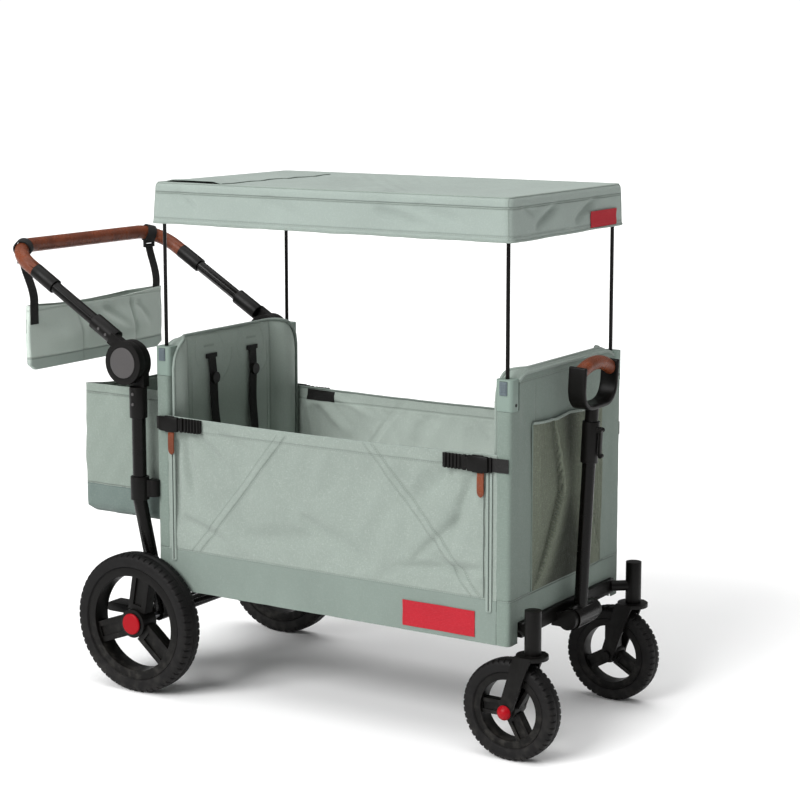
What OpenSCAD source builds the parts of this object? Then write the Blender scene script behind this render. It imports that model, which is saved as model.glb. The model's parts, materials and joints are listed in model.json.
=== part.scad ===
// Stroller wagon: a fabric tub on a folding steel frame, with a push handle behind,
// a pull handle in front, two large rear wheels, two swivel casters and a flat canopy.
// +X points forwards to the pull handle, +Y to the wagon's left, +Z up. The origin is on
// the ground, under the middle of the wagon. Sizes are in millimetres.

/* [Tub] */
// Outer width of the fabric tub
tub_w = 474; // [450:1:510]
// Distance between the rear and the front posts
post_span = 828; // [790:1:870]
// Height of the tub's bottom edge above the tops of the front wheels
tub_lift = 25; // [22:1:40]
// Height of the side walls
side_h = 375; // [340:1:400]
// Height of the end frames, from the tub's bottom edge to the tops of the pole sockets
end_h = 524; // [490:1:550]
// How far the padded seat backs rise above the pole sockets
seat_rise = 14; // [8:1:22]
// Thickness of the fabric walls
fabric_t = 3; // [2:0.5:4]
// Diameter of the steel posts
post_d = 22; // [20:1:24]
// Wall of the steel posts
post_wall = 2; // [1.5:0.5:2.5]

/* [Floor] */
// Height of the fold pivots above the tub's bottom edge
floor_rise = 30; // [28:1:40]
// Diameter of the floor frame tubes
floor_tube_d = 16; // [14:1:16]
// Thickness of the floor mats
mat_t = 18; // [10:1:22]

/* [Wheels] */
// Diameter of the rear wheels
rear_wheel_d = 304; // [280:1:312]
// Width of the rear tyres
rear_wheel_w = 51; // [44:1:54]
// Gap between the tub's sides and the rear tyres
wheel_gap = 6.5; // [5:0.5:12]
// Distance from the rear posts back to the rear axle
axle_setback = 51; // [44:1:60]
// Diameter of the rear axle rod
axle_d = 12; // [10:1:14]
// Diameter of the front wheels
front_wheel_d = 203; // [185:1:215]
// Width of the front tyres
front_wheel_w = 42; // [36:1:46]
// Distance from the tub's sides in to the caster swivel axes
caster_inset = 14.5; // [8:0.5:22]
// Distance from the front posts to the caster swivel axes
caster_lead = 61; // [56:1:70]
// Distance from a caster's swivel axis back to its wheel axle
caster_trail = 45; // [38:1:50]

/* [Push handle] */
// Diameter of the uprights that carry the push handle
upright_d = 30; // [26:1:32]
// Height of the handle hubs above the tub's bottom edge
hub_rise = 487; // [460:1:510]
// Distance from the uprights back to the hub axis
hub_setback = 26; // [22:1:30]
// Diameter of the hubs
hub_d = 94; // [88:1:100]
// Width of the hubs
hub_w = 38; // [34:1:44]
// Diameter of the round hub buttons
hub_button_d = 66; // [56:1:70]
// Slope of the push handle in use
handle_tilt = 31; // [20:1:40]
// Distance from the hub axis to the crossbar
handle_reach = 401; // [370:1:430]
// Diameter of the handle tube
arm_d = 26; // [22:1:28]
// Diameter of the leather grip
grip_d = 32; // [30:1:36]
// Radius of the grip's corner bends
bend_r = 70; // [60:1:80]

/* [Pull handle] */
// Distance from the front posts to the pull handle's pivot
pull_lead = 49; // [46:1:56]
// Height of the pull handle's pivot above the tub's bottom edge
pull_rise = 15; // [12:1:20]
// Forward lean of the parked pull handle
pull_lean = 2.8; // [0:0.1:4]
// Distance from the pivot to the top of the pull tube's lock sleeve
pull_tube_l = 400; // [360:1:410]
// Diameter of the pull tube
pull_tube_d = 27; // [24:1:30]
// Width of the pull handle's grip frame
pull_grip_w = 150; // [130:1:160]
// Height of the pull handle's grip frame
pull_grip_h = 104; // [96:1:112]

/* [Canopy] */
// Diameter of the canopy poles
pole_d = 8; // [7:0.5:10]
// Length of pole that shows between a socket and the canopy's hem
pole_show = 264; // [240:1:290]
// Height of the canopy's valance
canopy_h = 84; // [70:1:95]
// Sag of the canopy's top between its hoops
canopy_sag = 6; // [3:0.5:9]

/* [Bags] */
// Width of the storage bag
bag_w = 430; // [380:1:440]
// Depth of the storage bag
bag_depth = 222; // [190:1:230]
// Height of the storage bag
bag_h = 287; // [250:1:295]
// Height of the handle organizer
pouch_h = 145; // [120:1:150]
// Depth of the handle organizer
pouch_depth = 52; // [44:1:56]

/* [Hidden] */
$fn = 48;

// Colours of the real pieces
sage = [0.60, 0.67, 0.62];
sage_dark = [0.46, 0.53, 0.49];
black = [0.12, 0.12, 0.12];
grey = [0.40, 0.40, 0.40];
tan = [0.50, 0.27, 0.15];
red = [0.80, 0.08, 0.14];

// Clearances
run_gap = 0.08;
seat_gap = 0.3;

// Heights
body_bottom = front_wheel_d + tub_lift;
hem_z = body_bottom + side_h;
socket_top = body_bottom + end_h;
seat_top = socket_top + seat_rise;
floor_z = body_bottom + floor_rise;
rear_axle_z = rear_wheel_d / 2;
front_axle_z = front_wheel_d / 2;
hub_z = body_bottom + hub_rise;
canopy_hem = socket_top + pole_show;
canopy_top = canopy_hem + canopy_h;

// Push handle, seen from its hubs: the arm line runs above the hub axis
arm_offset = 25;
handle_bar_x = -hub_setback - handle_reach * cos(handle_tilt) + arm_offset * sin(handle_tilt);

// Lengthways places, first from the rear axle and then from the middle of the wagon
grip_end = -handle_bar_x + grip_d / 2;
caster_from_axle = axle_setback + post_span + caster_lead;
front_end = caster_from_axle - caster_trail + front_wheel_d / 2;
rear_axle_x = (grip_end - front_end) / 2;
rear_post_x = rear_axle_x + axle_setback;
front_post_x = rear_post_x + post_span;
mid_x = (rear_post_x + front_post_x) / 2;
caster_x = rear_axle_x + caster_from_axle;
front_axle_x = caster_x - caster_trail;
hub_x = rear_axle_x - hub_setback;

// Sideways places
side_y = tub_w / 2;
sleeve_ease = 2;
sleeve_w = post_d + 2 * sleeve_ease + 2 * fabric_t;
post_y = side_y - sleeve_w / 2;
upright_gap = 4;
upright_y = side_y + upright_gap + upright_d / 2;
rear_inner_y = side_y + wheel_gap;
rear_wheel_y = rear_inner_y + rear_wheel_w / 2;
caster_y = side_y - caster_inset;

// End frames
rail_d = 20;
post_foot = 4;
post_bottom = floor_z - rail_d / 2 - post_foot;
strap_w = 25;
strap_t = 4;
strap_proud = 1;
end_hem_rise = 42;
cover_top_drop = 8;

// Pole sockets and their release buttons
socket_w = 38;
socket_h = 62;
socket_r = 9;
socket_y = side_y - sleeve_w / 2;
post_seat = 28;
socket_bottom = socket_top - socket_h;
post_top = socket_bottom + post_seat;
pole_seat = 70;
pole_button_w = 16;
pole_button_h = 26;
pole_button_t = 6;
pole_button_proud = 2;
pole_button_travel = 2;
pole_button_z = socket_top - 17;
rib_t = 1.2;

// Fold hinges of the floor
hinge_reach = 22;
hinge_pin_d = 8;
hinge_ear_t = 4;
hinge_eye_w = 11;
hinge_eye_d = 16;
hinge_side_gap = 0.5;
hinge_ear_y = hinge_eye_w / 2 + hinge_side_gap;
floor_y = post_y - sleeve_w / 2 - 15;
rear_pivot_x = rear_post_x + hinge_reach;
front_pivot_x = front_post_x - hinge_reach;
end_neck = 12;
knee_neck = 45;
knee_lap = 20;
neck_w = 10.4;
neck_h = 13;
cross_tube_d = 14;
arm_rest_x = 160;
knee_cross = 80;
mat_half_w = post_y - sleeve_w / 2 - 2;
board_t = 5;
mat_end = 58;
board_end = 14;
knee_slit = 1;
fold_strap_in = 25;
fold_strap_w = 30;
fold_strap_l = 140;
fold_strap_t = 3;
mat_bottom = floor_z + floor_tube_d / 2 + seat_gap;
mat_top = mat_bottom + board_t + mat_t;

// Push frame
foot_inset = 56;
foot_y = rear_inner_y - foot_inset;
bend_rise = 112;
bend_z = rear_wheel_d + bend_rise;
beam_d = 28;
strut_d = 14;
strut_y = 140;
ring_d = rail_d + 8;
ring_w = 24;
brace_d = 11;
brace_y = 100;
upright_top_drop = 62;
upright_top = hub_z - upright_top_drop;

// Clamps that tie the uprights to the rear posts
clamp_h = 50;
clamp_z = bend_z + clamp_h / 2 + 4;
clamp_wall = 5;
bulb_d = 25;
bulb_h = 36;

// Hubs
hub_split = 0.3;
hub_pin_d = 14;
hub_pin_l = 7;
hub_sleeve_wall = 4;
hub_sleeve_gap = 4;
hub_sleeve_l = 66;
hub_neck_h = 30;
arm_sleeve_wall = 5;
arm_sleeve_start = hub_d / 2 + 5;
arm_sleeve_l = 66;
arm_seat = 8;
tube_wall = 2;
hub_button_t = 8;
hub_button_proud = 1.5;
hub_button_travel = 4;
hub_recess = hub_button_t - hub_button_proud + hub_button_travel + 0.5;
collar_l = 63;
collar_wall = 3.5;

// Grip, its organizer loops and the organizer
grip_run = 19.7;
bend_start = handle_reach - bend_r;
grip_start = bend_start - grip_run;
collar_start = grip_start - seat_gap - collar_l;
loop_turn = 62;
loop_w = 22;
loop_wall = 2.5;
loop_ease = 1.8;
loop_y = upright_y - bend_r + bend_r * cos(loop_turn);
loop_s = bend_start + bend_r * sin(loop_turn);
loop_x = hub_x - loop_s * cos(handle_tilt) + arm_offset * sin(handle_tilt);
loop_z = hub_z + loop_s * sin(handle_tilt) + arm_offset * cos(handle_tilt);
loop_d = grip_d + 2 * loop_ease + 2 * loop_wall;
ring_bar_d = 4;
ring_drop = 9;
ring_z = loop_z - loop_d / 2 - ring_drop;
cheek_t = 3;
web_w = 25;
web_t = 2;
web_eye_d = 9;
pouch_w = 2 * loop_y + web_w;
pouch_wall = 2.5;
pouch_end = 12;
pouch_taper = 70;
pouch_drop = 97;
pouch_top = ring_z - pouch_drop;
pouch_front_x = loop_x + pouch_depth / 2;
strap_lap = 40;

// Rear wheels, axle and brake
tyre_h = 30;
tyre_shoulder = 12;
rim_w = 42;
rim_t = 18;
spoke_n = 3;
spoke_w = 46;
spoke_t = 26;
spoke_pocket = 5;
rear_hub_d = 62;
rear_hub_l = 44;
cap_d = 46;
cap_t = 6;
brake_x = rear_axle_x - beam_d / 2 - 22;
brake_bar_d = 12;
brake_lug_d = 24;
brake_lug_w = 14;
pedal_l = 96;
pedal_w = 42;
pedal_side_gap = 9.5;
brake_lug_y = foot_y - pedal_w / 2 - brake_lug_w / 2 - pedal_side_gap;
pedal_t = 20;
finger_l = 34;
finger_w = 12;
finger_gap = 3;

// Casters
front_tyre_h = 26;
front_tyre_shoulder = 10;
front_rim_w = 34;
front_rim_t = 14;
front_spoke_w = 30;
front_spoke_t = 20;
front_hub_d = 36;
front_axle_d = 10;
wheel_side_gap = 4;
fork_leg_t = 7;
fork_leg_w = 38;
fork_boss_d = 30;
crown_gap = 6;
crown_t = 8;
crown_front = 24;
stem_d = 14;
housing_d = 33;
housing_h = 88;
housing_roof = 5;
front_cap_d = 32;
front_cap_h = 11;
crown_top = front_wheel_d + crown_gap + crown_t;
housing_bottom = crown_top + 2 * seat_gap;
housing_top = housing_bottom + housing_h;

// Front beam
beam_front_h = 30;
beam_rail_gap = 0.5;
beam_barrel_gap = 1;
beam_front_x = front_post_x + ring_d / 2 + beam_rail_gap;
beam_front_z = body_bottom + end_hem_rise - beam_front_h - beam_rail_gap;
beam_front_l = 2 * (post_y - sleeve_w / 2 - 4);
beam_arm_d = 22;
beam_arm_in = 30;
beam_clip_y = 150;

// Pull handle
pull_x = front_post_x + pull_lead;
pull_z = body_bottom + pull_rise;
pull_pin_d = 12;
barrel_d = 46;
beam_front_w = pull_x - barrel_d / 2 - beam_barrel_gap - beam_front_x;
barrel_l = 84;
lug_t = 16;
lug_gap = 0.5;
lug_d = 40;
sleeve_l = 84;
sleeve_wall = 4;
inner_d = 20;
inner_seat = 260;
inner_ease = 0.1;
frame_t = 9;
frame_depth = 38;
pull_grip_d = 28;
frame_neck = 28;
frame_r = 26;
leg_gap = pull_grip_w - 2 * frame_t;
arch_rise = 16;
arch_r = (pow(leg_gap / 2, 2) + pow(arch_rise, 2)) / (2 * arch_rise);
arch_z = pull_tube_l + frame_neck + pull_grip_h - pull_grip_d / 2;
grip_core_d = 16;
leg_cover = 2;
leg_top = arch_z - arch_rise + pull_grip_d / 2 + leg_cover;
lever_w = 10;
lever_t = 5;
lever_l = 52;
lever_pin_d = 4;
lever_pin_z = pull_tube_l - 16;
lever_pin_x = pull_tube_d / 2 + sleeve_wall + 5;

// Seat backs and harness
seat_half_w = side_y - fabric_t - 8;
seat_corner = 60;
seat_edge = 4;
seat_crown = 6;
seat_back_x = 7.5;
wing_start = 150;
wing_end = post_y - sleeve_w / 2 - 8;
wing_step = seat_back_x + max(socket_w, sleeve_w) / 2 + 2 * seat_gap;
seat_foot = 1;
harness_y = 75;
harness_w = 25;
harness_t = 2.2;
harness_top = seat_top - 54;
harness_l = 380;
adjuster_d = 26;
adjuster_t = 6;
adjuster_drop = 47;

// Side buckles
buckle_band_h = 27;
buckle_band_t = 2;
buckle_w = 45;
buckle_h = 32;
buckle_t = 9;
rear_band_l = 118;
front_band_l = 145;
rear_band_drop = 14;
front_band_drop = 18;

// Pockets
pocket_in = 24;
pocket_out = 150;
pocket_bottom = body_bottom + 92;
pocket_h = 336;
pocket_t = 3;
pocket_frame = 9;
pocket_rows = 12;
pocket_cols = 6;
pocket_cord = 5;

// Canopy cloth
canopy_over = 14;
canopy_w = tub_w + 6;
canopy_r = 30;
canopy_cloth = 2.5;
hoop_dip = canopy_dip(post_span / (post_span + 2 * canopy_over), 0);
hoop_z = canopy_top - canopy_cloth - hoop_dip - seat_gap - pole_d / 2;

// Bag
bag_wall = 3;
bag_r = 12;
bag_drop = 100;
bag_top = socket_top - bag_drop;

// Shared shapes

module bar_y(d, l) rotate([90, 0, 0]) cylinder(d = d, h = l, center = true);

module both_sides() {
  children();
  mirror([0, 1, 0]) children();
}

module rod(from, to, d) {
  span = to - from;
  translate(from)
    rotate([0, acos(span.z / norm(span)), atan2(span.y, span.x)])
      cylinder(d = d, h = norm(span));
}

// A rounded rectangle from squares and circles, so its corners stay true arcs
module round_rect(w, h, r) {
  square([w - 2 * r, h], center = true);
  square([w, h - 2 * r], center = true);
  for (x = [-1, 1], y = [-1, 1])
    translate([x * (w / 2 - r), y * (h / 2 - r)]) circle(r);
}

// A plate that lies in the XZ plane, from y to y + t
module side_plate(y, t) translate([0, y + t, 0]) rotate([90, 0, 0]) linear_extrude(t) children();

module at_right() mirror([0, 1, 0]) children();

// End frames: two posts, a lower rail, an upper strap and the floor's hinge ears.
// toward is 1 where the tub lies towards +X of the frame.
module end_frame(x, toward) {
  strap_x = x - toward * (post_d / 2 + strap_proud);
  difference() {
    union() {
      both_sides() translate([x, post_y, post_bottom])
        cylinder(d = post_d, h = post_top - post_bottom);
      translate([x, 0, floor_z]) bar_y(rail_d, 2 * post_y);
      translate([strap_x + toward * strap_t / 2, 0, socket_bottom + strap_w / 2])
        cube([strap_t, 2 * post_y, strap_w], center = true);
      both_sides() translate([x, floor_y, floor_z]) hinge_ears(toward);
    }
    both_sides() translate([x, post_y, post_bottom - 1])
      cylinder(d = post_d - 2 * post_wall, h = post_top - post_bottom + 2);
  }
}

// Two ears and the pin between them, around y = 0, with the rail at x = 0
module hinge_ears(toward) {
  for (y = [hinge_ear_y, -hinge_ear_y - hinge_ear_t])
    side_plate(y, hinge_ear_t) {
      translate([toward * hinge_reach / 2, 0]) square([hinge_reach, hinge_eye_d], center = true);
      translate([toward * hinge_reach, 0]) circle(d = hinge_eye_d);
    }
  translate([toward * hinge_reach, 0, 0]) bar_y(hinge_pin_d, hinge_eye_w + 2 * hinge_ear_t);
}

module pole_sockets(x, toward) {
  strap_x = x - toward * (post_d / 2 + strap_proud - strap_t / 2);
  both_sides() difference() {
    translate([x, socket_y, socket_bottom])
      linear_extrude(socket_h) round_rect(socket_w, sleeve_w, socket_r);
    translate([x, post_y, socket_bottom - 1])
      cylinder(d = post_d + 2 * run_gap, h = post_seat + 1 + seat_gap);
    translate([x, post_y, socket_bottom])
      cylinder(d = pole_d + 4 * run_gap, h = socket_h + 1);
    translate([strap_x, 0, socket_bottom + strap_w / 2])
      cube([strap_t + 2 * seat_gap, 2 * post_y, strap_w + 2 * seat_gap], center = true);
    translate([x, side_y, pole_button_z])
      cube([pole_button_w + 2 * seat_gap, 2 * (pole_button_t + seat_gap), pole_button_h + 2 * seat_gap],
           center = true);
  }
}

// Release button of a canopy pole: a ribbed key in the outer face of its socket
module pole_button(x) {
  outer = side_y + pole_button_proud;
  color(grey) difference() {
    translate([x - pole_button_w / 2, outer - pole_button_t, pole_button_z - pole_button_h / 2])
      cube([pole_button_w, pole_button_t, pole_button_h]);
    for (k = [-2 : 2])
      translate([x, outer, pole_button_z + 4 * k]) cube([pole_button_w + 2, rib_t, rib_t], center = true);
  }
}

// Fabric over an end frame: a sleeve round each post and a panel on the outside
module end_cover(x, toward) {
  outer = x - toward * sleeve_w / 2;
  difference() {
    both_sides() translate([x, post_y, body_bottom])
      linear_extrude(socket_bottom - seat_gap - body_bottom) difference() {
        round_rect(sleeve_w, sleeve_w, socket_r);
        round_rect(sleeve_w - 2 * fabric_t, sleeve_w - 2 * fabric_t, socket_r - fabric_t);
      }
    translate([x, 0, floor_z]) bar_y(rail_d + 2 * seat_gap, 2 * post_y);
  }
  panel_bottom = body_bottom + end_hem_rise;
  panel_h = seat_top - cover_top_drop - panel_bottom;
  panel_w = 2 * (post_y - sleeve_w / 2 + fabric_t);
  lower_h = socket_bottom - seat_gap - panel_bottom;
  translate([outer + toward * fabric_t / 2, 0, panel_bottom + lower_h / 2])
    cube([fabric_t, panel_w, lower_h], center = true);
  translate([outer + toward * fabric_t / 2, 0, panel_bottom + panel_h / 2])
    cube([fabric_t, 2 * (socket_y - sleeve_w / 2 - seat_gap), panel_h], center = true);
}

// Seat backs: a crowned pad with rounded top corners, whose wings step forward round the posts

function smooth(t) = t <= 0 ? 0 : t >= 1 ? 1 : t * t * (3 - 2 * t);
function wing(y) = wing_step * smooth((abs(y) - wing_start) / (wing_end - wing_start));
function corner_drop(y) =
  let (over = max(0, abs(y) - (seat_half_w - seat_corner)))
    seat_corner - sqrt(max(0, seat_corner * seat_corner - over * over));
// Thickness of the pad: it swells from its edges, and dips along the two wing seams
function pad_t(u, v) =
  let (
    swell = (1 - pow(abs(u), 6)) * (1 - pow(abs(2 * v - 1), 8)),
    seam = exp(-pow((abs(u) * seat_half_w - wing_start) / 6, 2))
  )
    seat_edge + seat_crown * swell * (1 - 0.8 * seam);

module seat_back(x, toward) {
  cols = 30;
  rows = 14;
  foot = mat_top + seat_foot;
  u = [for (i = [0 : cols]) 2 * i / cols - 1];
  v = [for (j = [0 : rows]) j / rows];
  back = [for (a = u, b = v) let (y = a * seat_half_w)
    [x + toward * (wing(y) - seat_back_x), y, foot + b * (seat_top - corner_drop(y) - foot)]];
  front = [for (a = u, b = v) let (y = a * seat_half_w)
    [x + toward * (wing(y) - seat_back_x + pad_t(a, b)), y,
     foot + b * (seat_top - corner_drop(y) - foot)]];
  n = rows + 1;
  m = len(back);
  cells = [for (i = [0 : cols - 1], j = [0 : rows - 1]) i * n + j];
  rim = concat(
    [for (j = [0 : rows - 1]) [j, j + 1]],
    [for (i = [0 : cols - 1]) [i * n + rows, (i + 1) * n + rows]],
    [for (j = [rows : -1 : 1]) [cols * n + j, cols * n + j - 1]],
    [for (i = [cols : -1 : 1]) [i * n, (i - 1) * n]]
  );
  faces = concat(
    [for (c = cells) [c, c + n, c + n + 1]],
    [for (c = cells) [c, c + n + 1, c + 1]],
    [for (c = cells) [m + c, m + c + n + 1, m + c + n]],
    [for (c = cells) [m + c, m + c + 1, m + c + n + 1]],
    [for (e = rim) [e[0], e[1], m + e[1]]],
    [for (e = rim) [e[0], m + e[1], m + e[0]]]
  );
  polyhedron(concat(back, front), toward > 0 ? faces : [for (f = faces) [f[0], f[2], f[1]]]);
}

module harness(x, toward) {
  face = x + toward * (seat_edge + seat_crown - seat_back_x + seat_gap);
  both_sides() {
    translate([face + toward * harness_t / 2, harness_y, harness_top - harness_l / 2])
      cube([harness_t, harness_w, harness_l], center = true);
    translate([face + toward * (harness_t + adjuster_t / 2), harness_y, harness_top - adjuster_drop])
      rotate([0, 90, 0]) cylinder(d = adjuster_d, h = adjuster_t, center = true);
  }
}

// Webbing band with a buckle on the outside of the tub, from x along a length
module side_buckle(x, l, z, buckle_at) {
  both_sides() {
    translate([x, side_y + seat_gap, z - buckle_band_h / 2]) cube([l, buckle_band_t, buckle_band_h]);
    translate([x + buckle_at, side_y + seat_gap + buckle_band_t, z - buckle_h / 2])
      cube([buckle_w, buckle_t, buckle_h]);
  }
}

module side_wall() {
  start = rear_post_x + sleeve_w / 2 + seat_gap;
  end = front_post_x - sleeve_w / 2 - seat_gap;
  color(sage) translate([start, side_y - fabric_t, body_bottom])
    cube([end - start, fabric_t, side_h]);
}

// Wheels lie flat here, around the Z axis, and stand up in on_axle

module on_axle(x, y, z) translate([x, y, z]) rotate([90, 0, 0]) children();

module tyre(d, w, h, shoulder) {
  rotate_extrude() intersection() {
    translate([d / 2 - h / 2 - shoulder, 0]) round_rect(h + 2 * shoulder, w, shoulder);
    translate([d / 2 - h + seat_gap / 2, -w]) square([h, 2 * w]);
  }
}

module spokes(inner, outer, w, t, pocket, turn) {
  for (k = [0 : spoke_n - 1]) rotate(turn + 360 / spoke_n * k) difference() {
    translate([inner, -w / 2, -t / 2]) cube([outer - inner, w, t]);
    for (s = [-1, 1]) translate([inner + (outer - inner) / 2, 0, s * t / 2])
      cube([(outer - inner) * 0.7, w * 0.5, 2 * pocket], center = true);
  }
}

module rim(d, w, t, hub_d, hub_l, bore_d, spoke_w, spoke_t, turn) {
  difference() {
    union() {
      difference() {
        cylinder(d = d, h = w, center = true);
        cylinder(d = d - 2 * t, h = w + 2, center = true);
      }
      cylinder(d = hub_d, h = hub_l, center = true);
      spokes(hub_d / 2 - 4, d / 2 - t / 2, spoke_w, spoke_t, spoke_pocket, turn);
    }
    cylinder(d = bore_d, h = hub_l + 2, center = true);
  }
}

module rear_rim() {
  rear_rim_d = rear_wheel_d - 2 * tyre_h;
  color(black) on_axle(rear_axle_x, rear_wheel_y, rear_axle_z)
    rim(rear_rim_d, rim_w, rim_t, rear_hub_d, rear_hub_l, axle_d + 2 * run_gap, spoke_w, spoke_t, 80);
}

module rear_tyre()
  color(black) on_axle(rear_axle_x, rear_wheel_y, rear_axle_z)
    tyre(rear_wheel_d, rear_wheel_w, tyre_h, tyre_shoulder);

module front_rim(turn) {
  front_rim_d = front_wheel_d - 2 * front_tyre_h;
  color(black) on_axle(front_axle_x, caster_y, front_axle_z)
    rim(front_rim_d, front_rim_w, front_rim_t, front_hub_d, front_wheel_w,
        front_axle_d + 2 * run_gap, front_spoke_w, front_spoke_t, turn);
}

module front_tyre()
  color(black) on_axle(front_axle_x, caster_y, front_axle_z)
    tyre(front_wheel_d, front_wheel_w, front_tyre_h, front_tyre_shoulder);

// Rear frame

module rear_end_frame() color(black) end_frame(rear_post_x, 1);

module rear_pole_sockets() color(sage) pole_sockets(rear_post_x, 1);

module rear_end_cover() color(sage_dark) end_cover(rear_post_x, 1);

module rear_seat_back() color(sage_dark) seat_back(rear_post_x, 1);

module rear_harness() color(black) harness(rear_post_x, 1);

module rear_side_buckles() color(black)
  side_buckle(rear_post_x - sleeve_w / 2 + 2, rear_band_l, hem_z - rear_band_drop,
              rear_band_l - buckle_w - 16);

module push_frame() {
  color(black) difference() {
    union() {
      both_sides() {
        translate([rear_axle_x, upright_y, bend_z]) cylinder(d = upright_d, h = upright_top - bend_z);
        translate([rear_axle_x, upright_y, bend_z]) sphere(d = upright_d);
        rod([rear_axle_x, upright_y, bend_z], [rear_axle_x, foot_y, rear_axle_z], upright_d);
        rod([rear_axle_x, strut_y, rear_axle_z], [rear_post_x, strut_y, floor_z], strut_d);
        translate([rear_post_x, strut_y, floor_z]) bar_y(ring_d, ring_w);
        rod([rear_axle_x, brace_y, rear_axle_z], brace_tip(), brace_d);
        translate(brace_tip()) sphere(d = brace_d);
        rod([rear_axle_x, brake_lug_y, rear_axle_z], [brake_x, brake_lug_y, rear_axle_z], brake_lug_w);
        translate([brake_x, brake_lug_y, rear_axle_z]) bar_y(brake_lug_d, brake_lug_w);
      }
      translate([rear_axle_x, 0, rear_axle_z]) bar_y(beam_d, 2 * foot_y + upright_d);
    }
    translate([rear_axle_x, 0, rear_axle_z]) bar_y(axle_d + 2 * run_gap, 2 * rear_wheel_y);
    translate([rear_post_x, 0, floor_z]) bar_y(rail_d + 2 * run_gap, 2 * strut_y + 2 * ring_w);
    translate([brake_x, 0, rear_axle_z]) bar_y(brake_bar_d + 2 * run_gap, 2 * brake_lug_y + 2 * brake_lug_w);
  }
}
// The floor braces end just under a cross tube of the rear floor frame
function brace_tip() =
  [rear_pivot_x + arm_rest_x, brace_y, floor_z - cross_tube_d / 2 - brace_d / 2 - seat_gap];

module upright_clamps() {
  bulb_x = rear_post_x - sleeve_w / 2 + socket_r - (bulb_d / 2 + socket_r + seat_gap) * sqrt(0.5);
  bulb_y = side_y - socket_r + (bulb_d / 2 + socket_r + seat_gap) * sqrt(0.5);
  color(black) both_sides() difference() {
    union() {
      translate([rear_axle_x, upright_y, clamp_z - clamp_h / 2])
        cylinder(d = upright_d + 2 * clamp_wall, h = clamp_h);
      translate([bulb_x, bulb_y, clamp_z - bulb_h / 2]) cylinder(d = bulb_d, h = bulb_h);
      translate([rear_axle_x, upright_y, clamp_z - bulb_h / 2])
        rotate(atan2(bulb_y - upright_y, bulb_x - rear_axle_x))
          translate([0, -bulb_d * 0.4, 0])
            cube([norm([bulb_x - rear_axle_x, bulb_y - upright_y]), bulb_d * 0.8, bulb_h]);
    }
    translate([rear_axle_x, upright_y, clamp_z - clamp_h])
      cylinder(d = upright_d + 2 * run_gap, h = 2 * clamp_h);
  }
}

// Fixed halves of the hubs: the inner disc, its neck and the sleeve over the upright's top
module hub_sockets() {
  half_w = hub_w / 2 - hub_split / 2;
  sleeve_top = hub_z - hub_d / 2 - hub_sleeve_gap;
  sleeve_bottom = sleeve_top - hub_sleeve_l;
  color(black) both_sides() difference() {
    union() {
      translate([hub_x, upright_y - hub_w / 2 + half_w / 2, hub_z]) bar_y(hub_d, half_w);
      translate([hub_x, upright_y - hub_w / 2, hub_z - hub_d / 2 - hub_sleeve_gap])
        cube([hub_setback + upright_d / 2, half_w, hub_neck_h]);
      translate([rear_axle_x, upright_y, sleeve_bottom])
        cylinder(d = upright_d + 2 * hub_sleeve_wall, h = hub_sleeve_l);
      translate([hub_x, upright_y - hub_split / 2 + hub_pin_l / 2, hub_z]) bar_y(hub_pin_d, hub_pin_l);
    }
    translate([rear_axle_x, upright_y, sleeve_bottom - 1])
      cylinder(d = upright_d + 2 * run_gap, h = upright_top - sleeve_bottom + 1 + seat_gap);
  }
}

module rear_axle()
  color(grey) translate([rear_axle_x, 0, rear_axle_z]) bar_y(axle_d, 2 * (rear_wheel_y + rear_hub_l / 2));

module rear_axle_caps()
  color(red) both_sides() on_axle(rear_axle_x, rear_wheel_y + rear_hub_l / 2 + seat_gap + cap_t, rear_axle_z)
    rotate_extrude() {
      square([cap_d / 2 - cap_t / 2, cap_t]);
      translate([cap_d / 2 - cap_t / 2, cap_t / 2]) intersection() {
        circle(d = cap_t);
        translate([0, -cap_t]) square(2 * cap_t);
      }
    }

module brake_pedal() {
  finger_y = rear_wheel_y - rear_hub_l / 2 - finger_gap - finger_w;
  color(black) {
    translate([brake_x, 0, rear_axle_z]) bar_y(brake_bar_d, 2 * (finger_y + finger_w / 2));
    both_sides() side_plate(finger_y, finger_w) translate([brake_x, rear_axle_z]) {
      circle(d = brake_bar_d + 8);
      translate([-(brake_bar_d + 4) / 2, -finger_l]) square([brake_bar_d + 4, finger_l]);
    }
    at_right() side_plate(foot_y - pedal_w / 2, pedal_w) translate([brake_x, rear_axle_z]) {
      circle(d = pedal_t);
      translate([-pedal_l, -pedal_t / 2]) square([pedal_l, pedal_t]);
      translate([-pedal_l, 0]) circle(d = pedal_t);
    }
  }
}

module side_wall_right() at_right() side_wall();

module side_wall_left() side_wall();

module storage_bag() {
  front = rear_post_x - sleeve_w / 2 - seat_gap;
  color(sage) difference() {
    translate([front - bag_depth / 2, 0, bag_top - bag_h])
      linear_extrude(bag_h) round_rect(bag_depth, bag_w, bag_r);
    translate([front - bag_depth / 2, 0, bag_top - bag_h + bag_wall])
      linear_extrude(bag_h) round_rect(bag_depth - 2 * bag_wall, bag_w - 2 * bag_wall, bag_r - bag_wall);
  }
}

// Floor: two halves that rise to a knee in the middle when the wagon folds

module floor_eye(x)
  translate([x, floor_y, floor_z]) bar_y(hinge_eye_d, hinge_eye_w);

module floor_bore(x)
  translate([x, floor_y, floor_z]) bar_y(hinge_pin_d + 2 * run_gap, 2 * hinge_eye_w);

module floor_neck(from, to)
  translate([from, floor_y - neck_w / 2, floor_z - neck_h / 2]) cube([to - from, neck_w, neck_h]);

module floor_tube(from, to) rod([from, floor_y, floor_z], [to, floor_y, floor_z], floor_tube_d);

module floor_cross(x) translate([x, 0, floor_z]) bar_y(cross_tube_d, 2 * floor_y);

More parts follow.
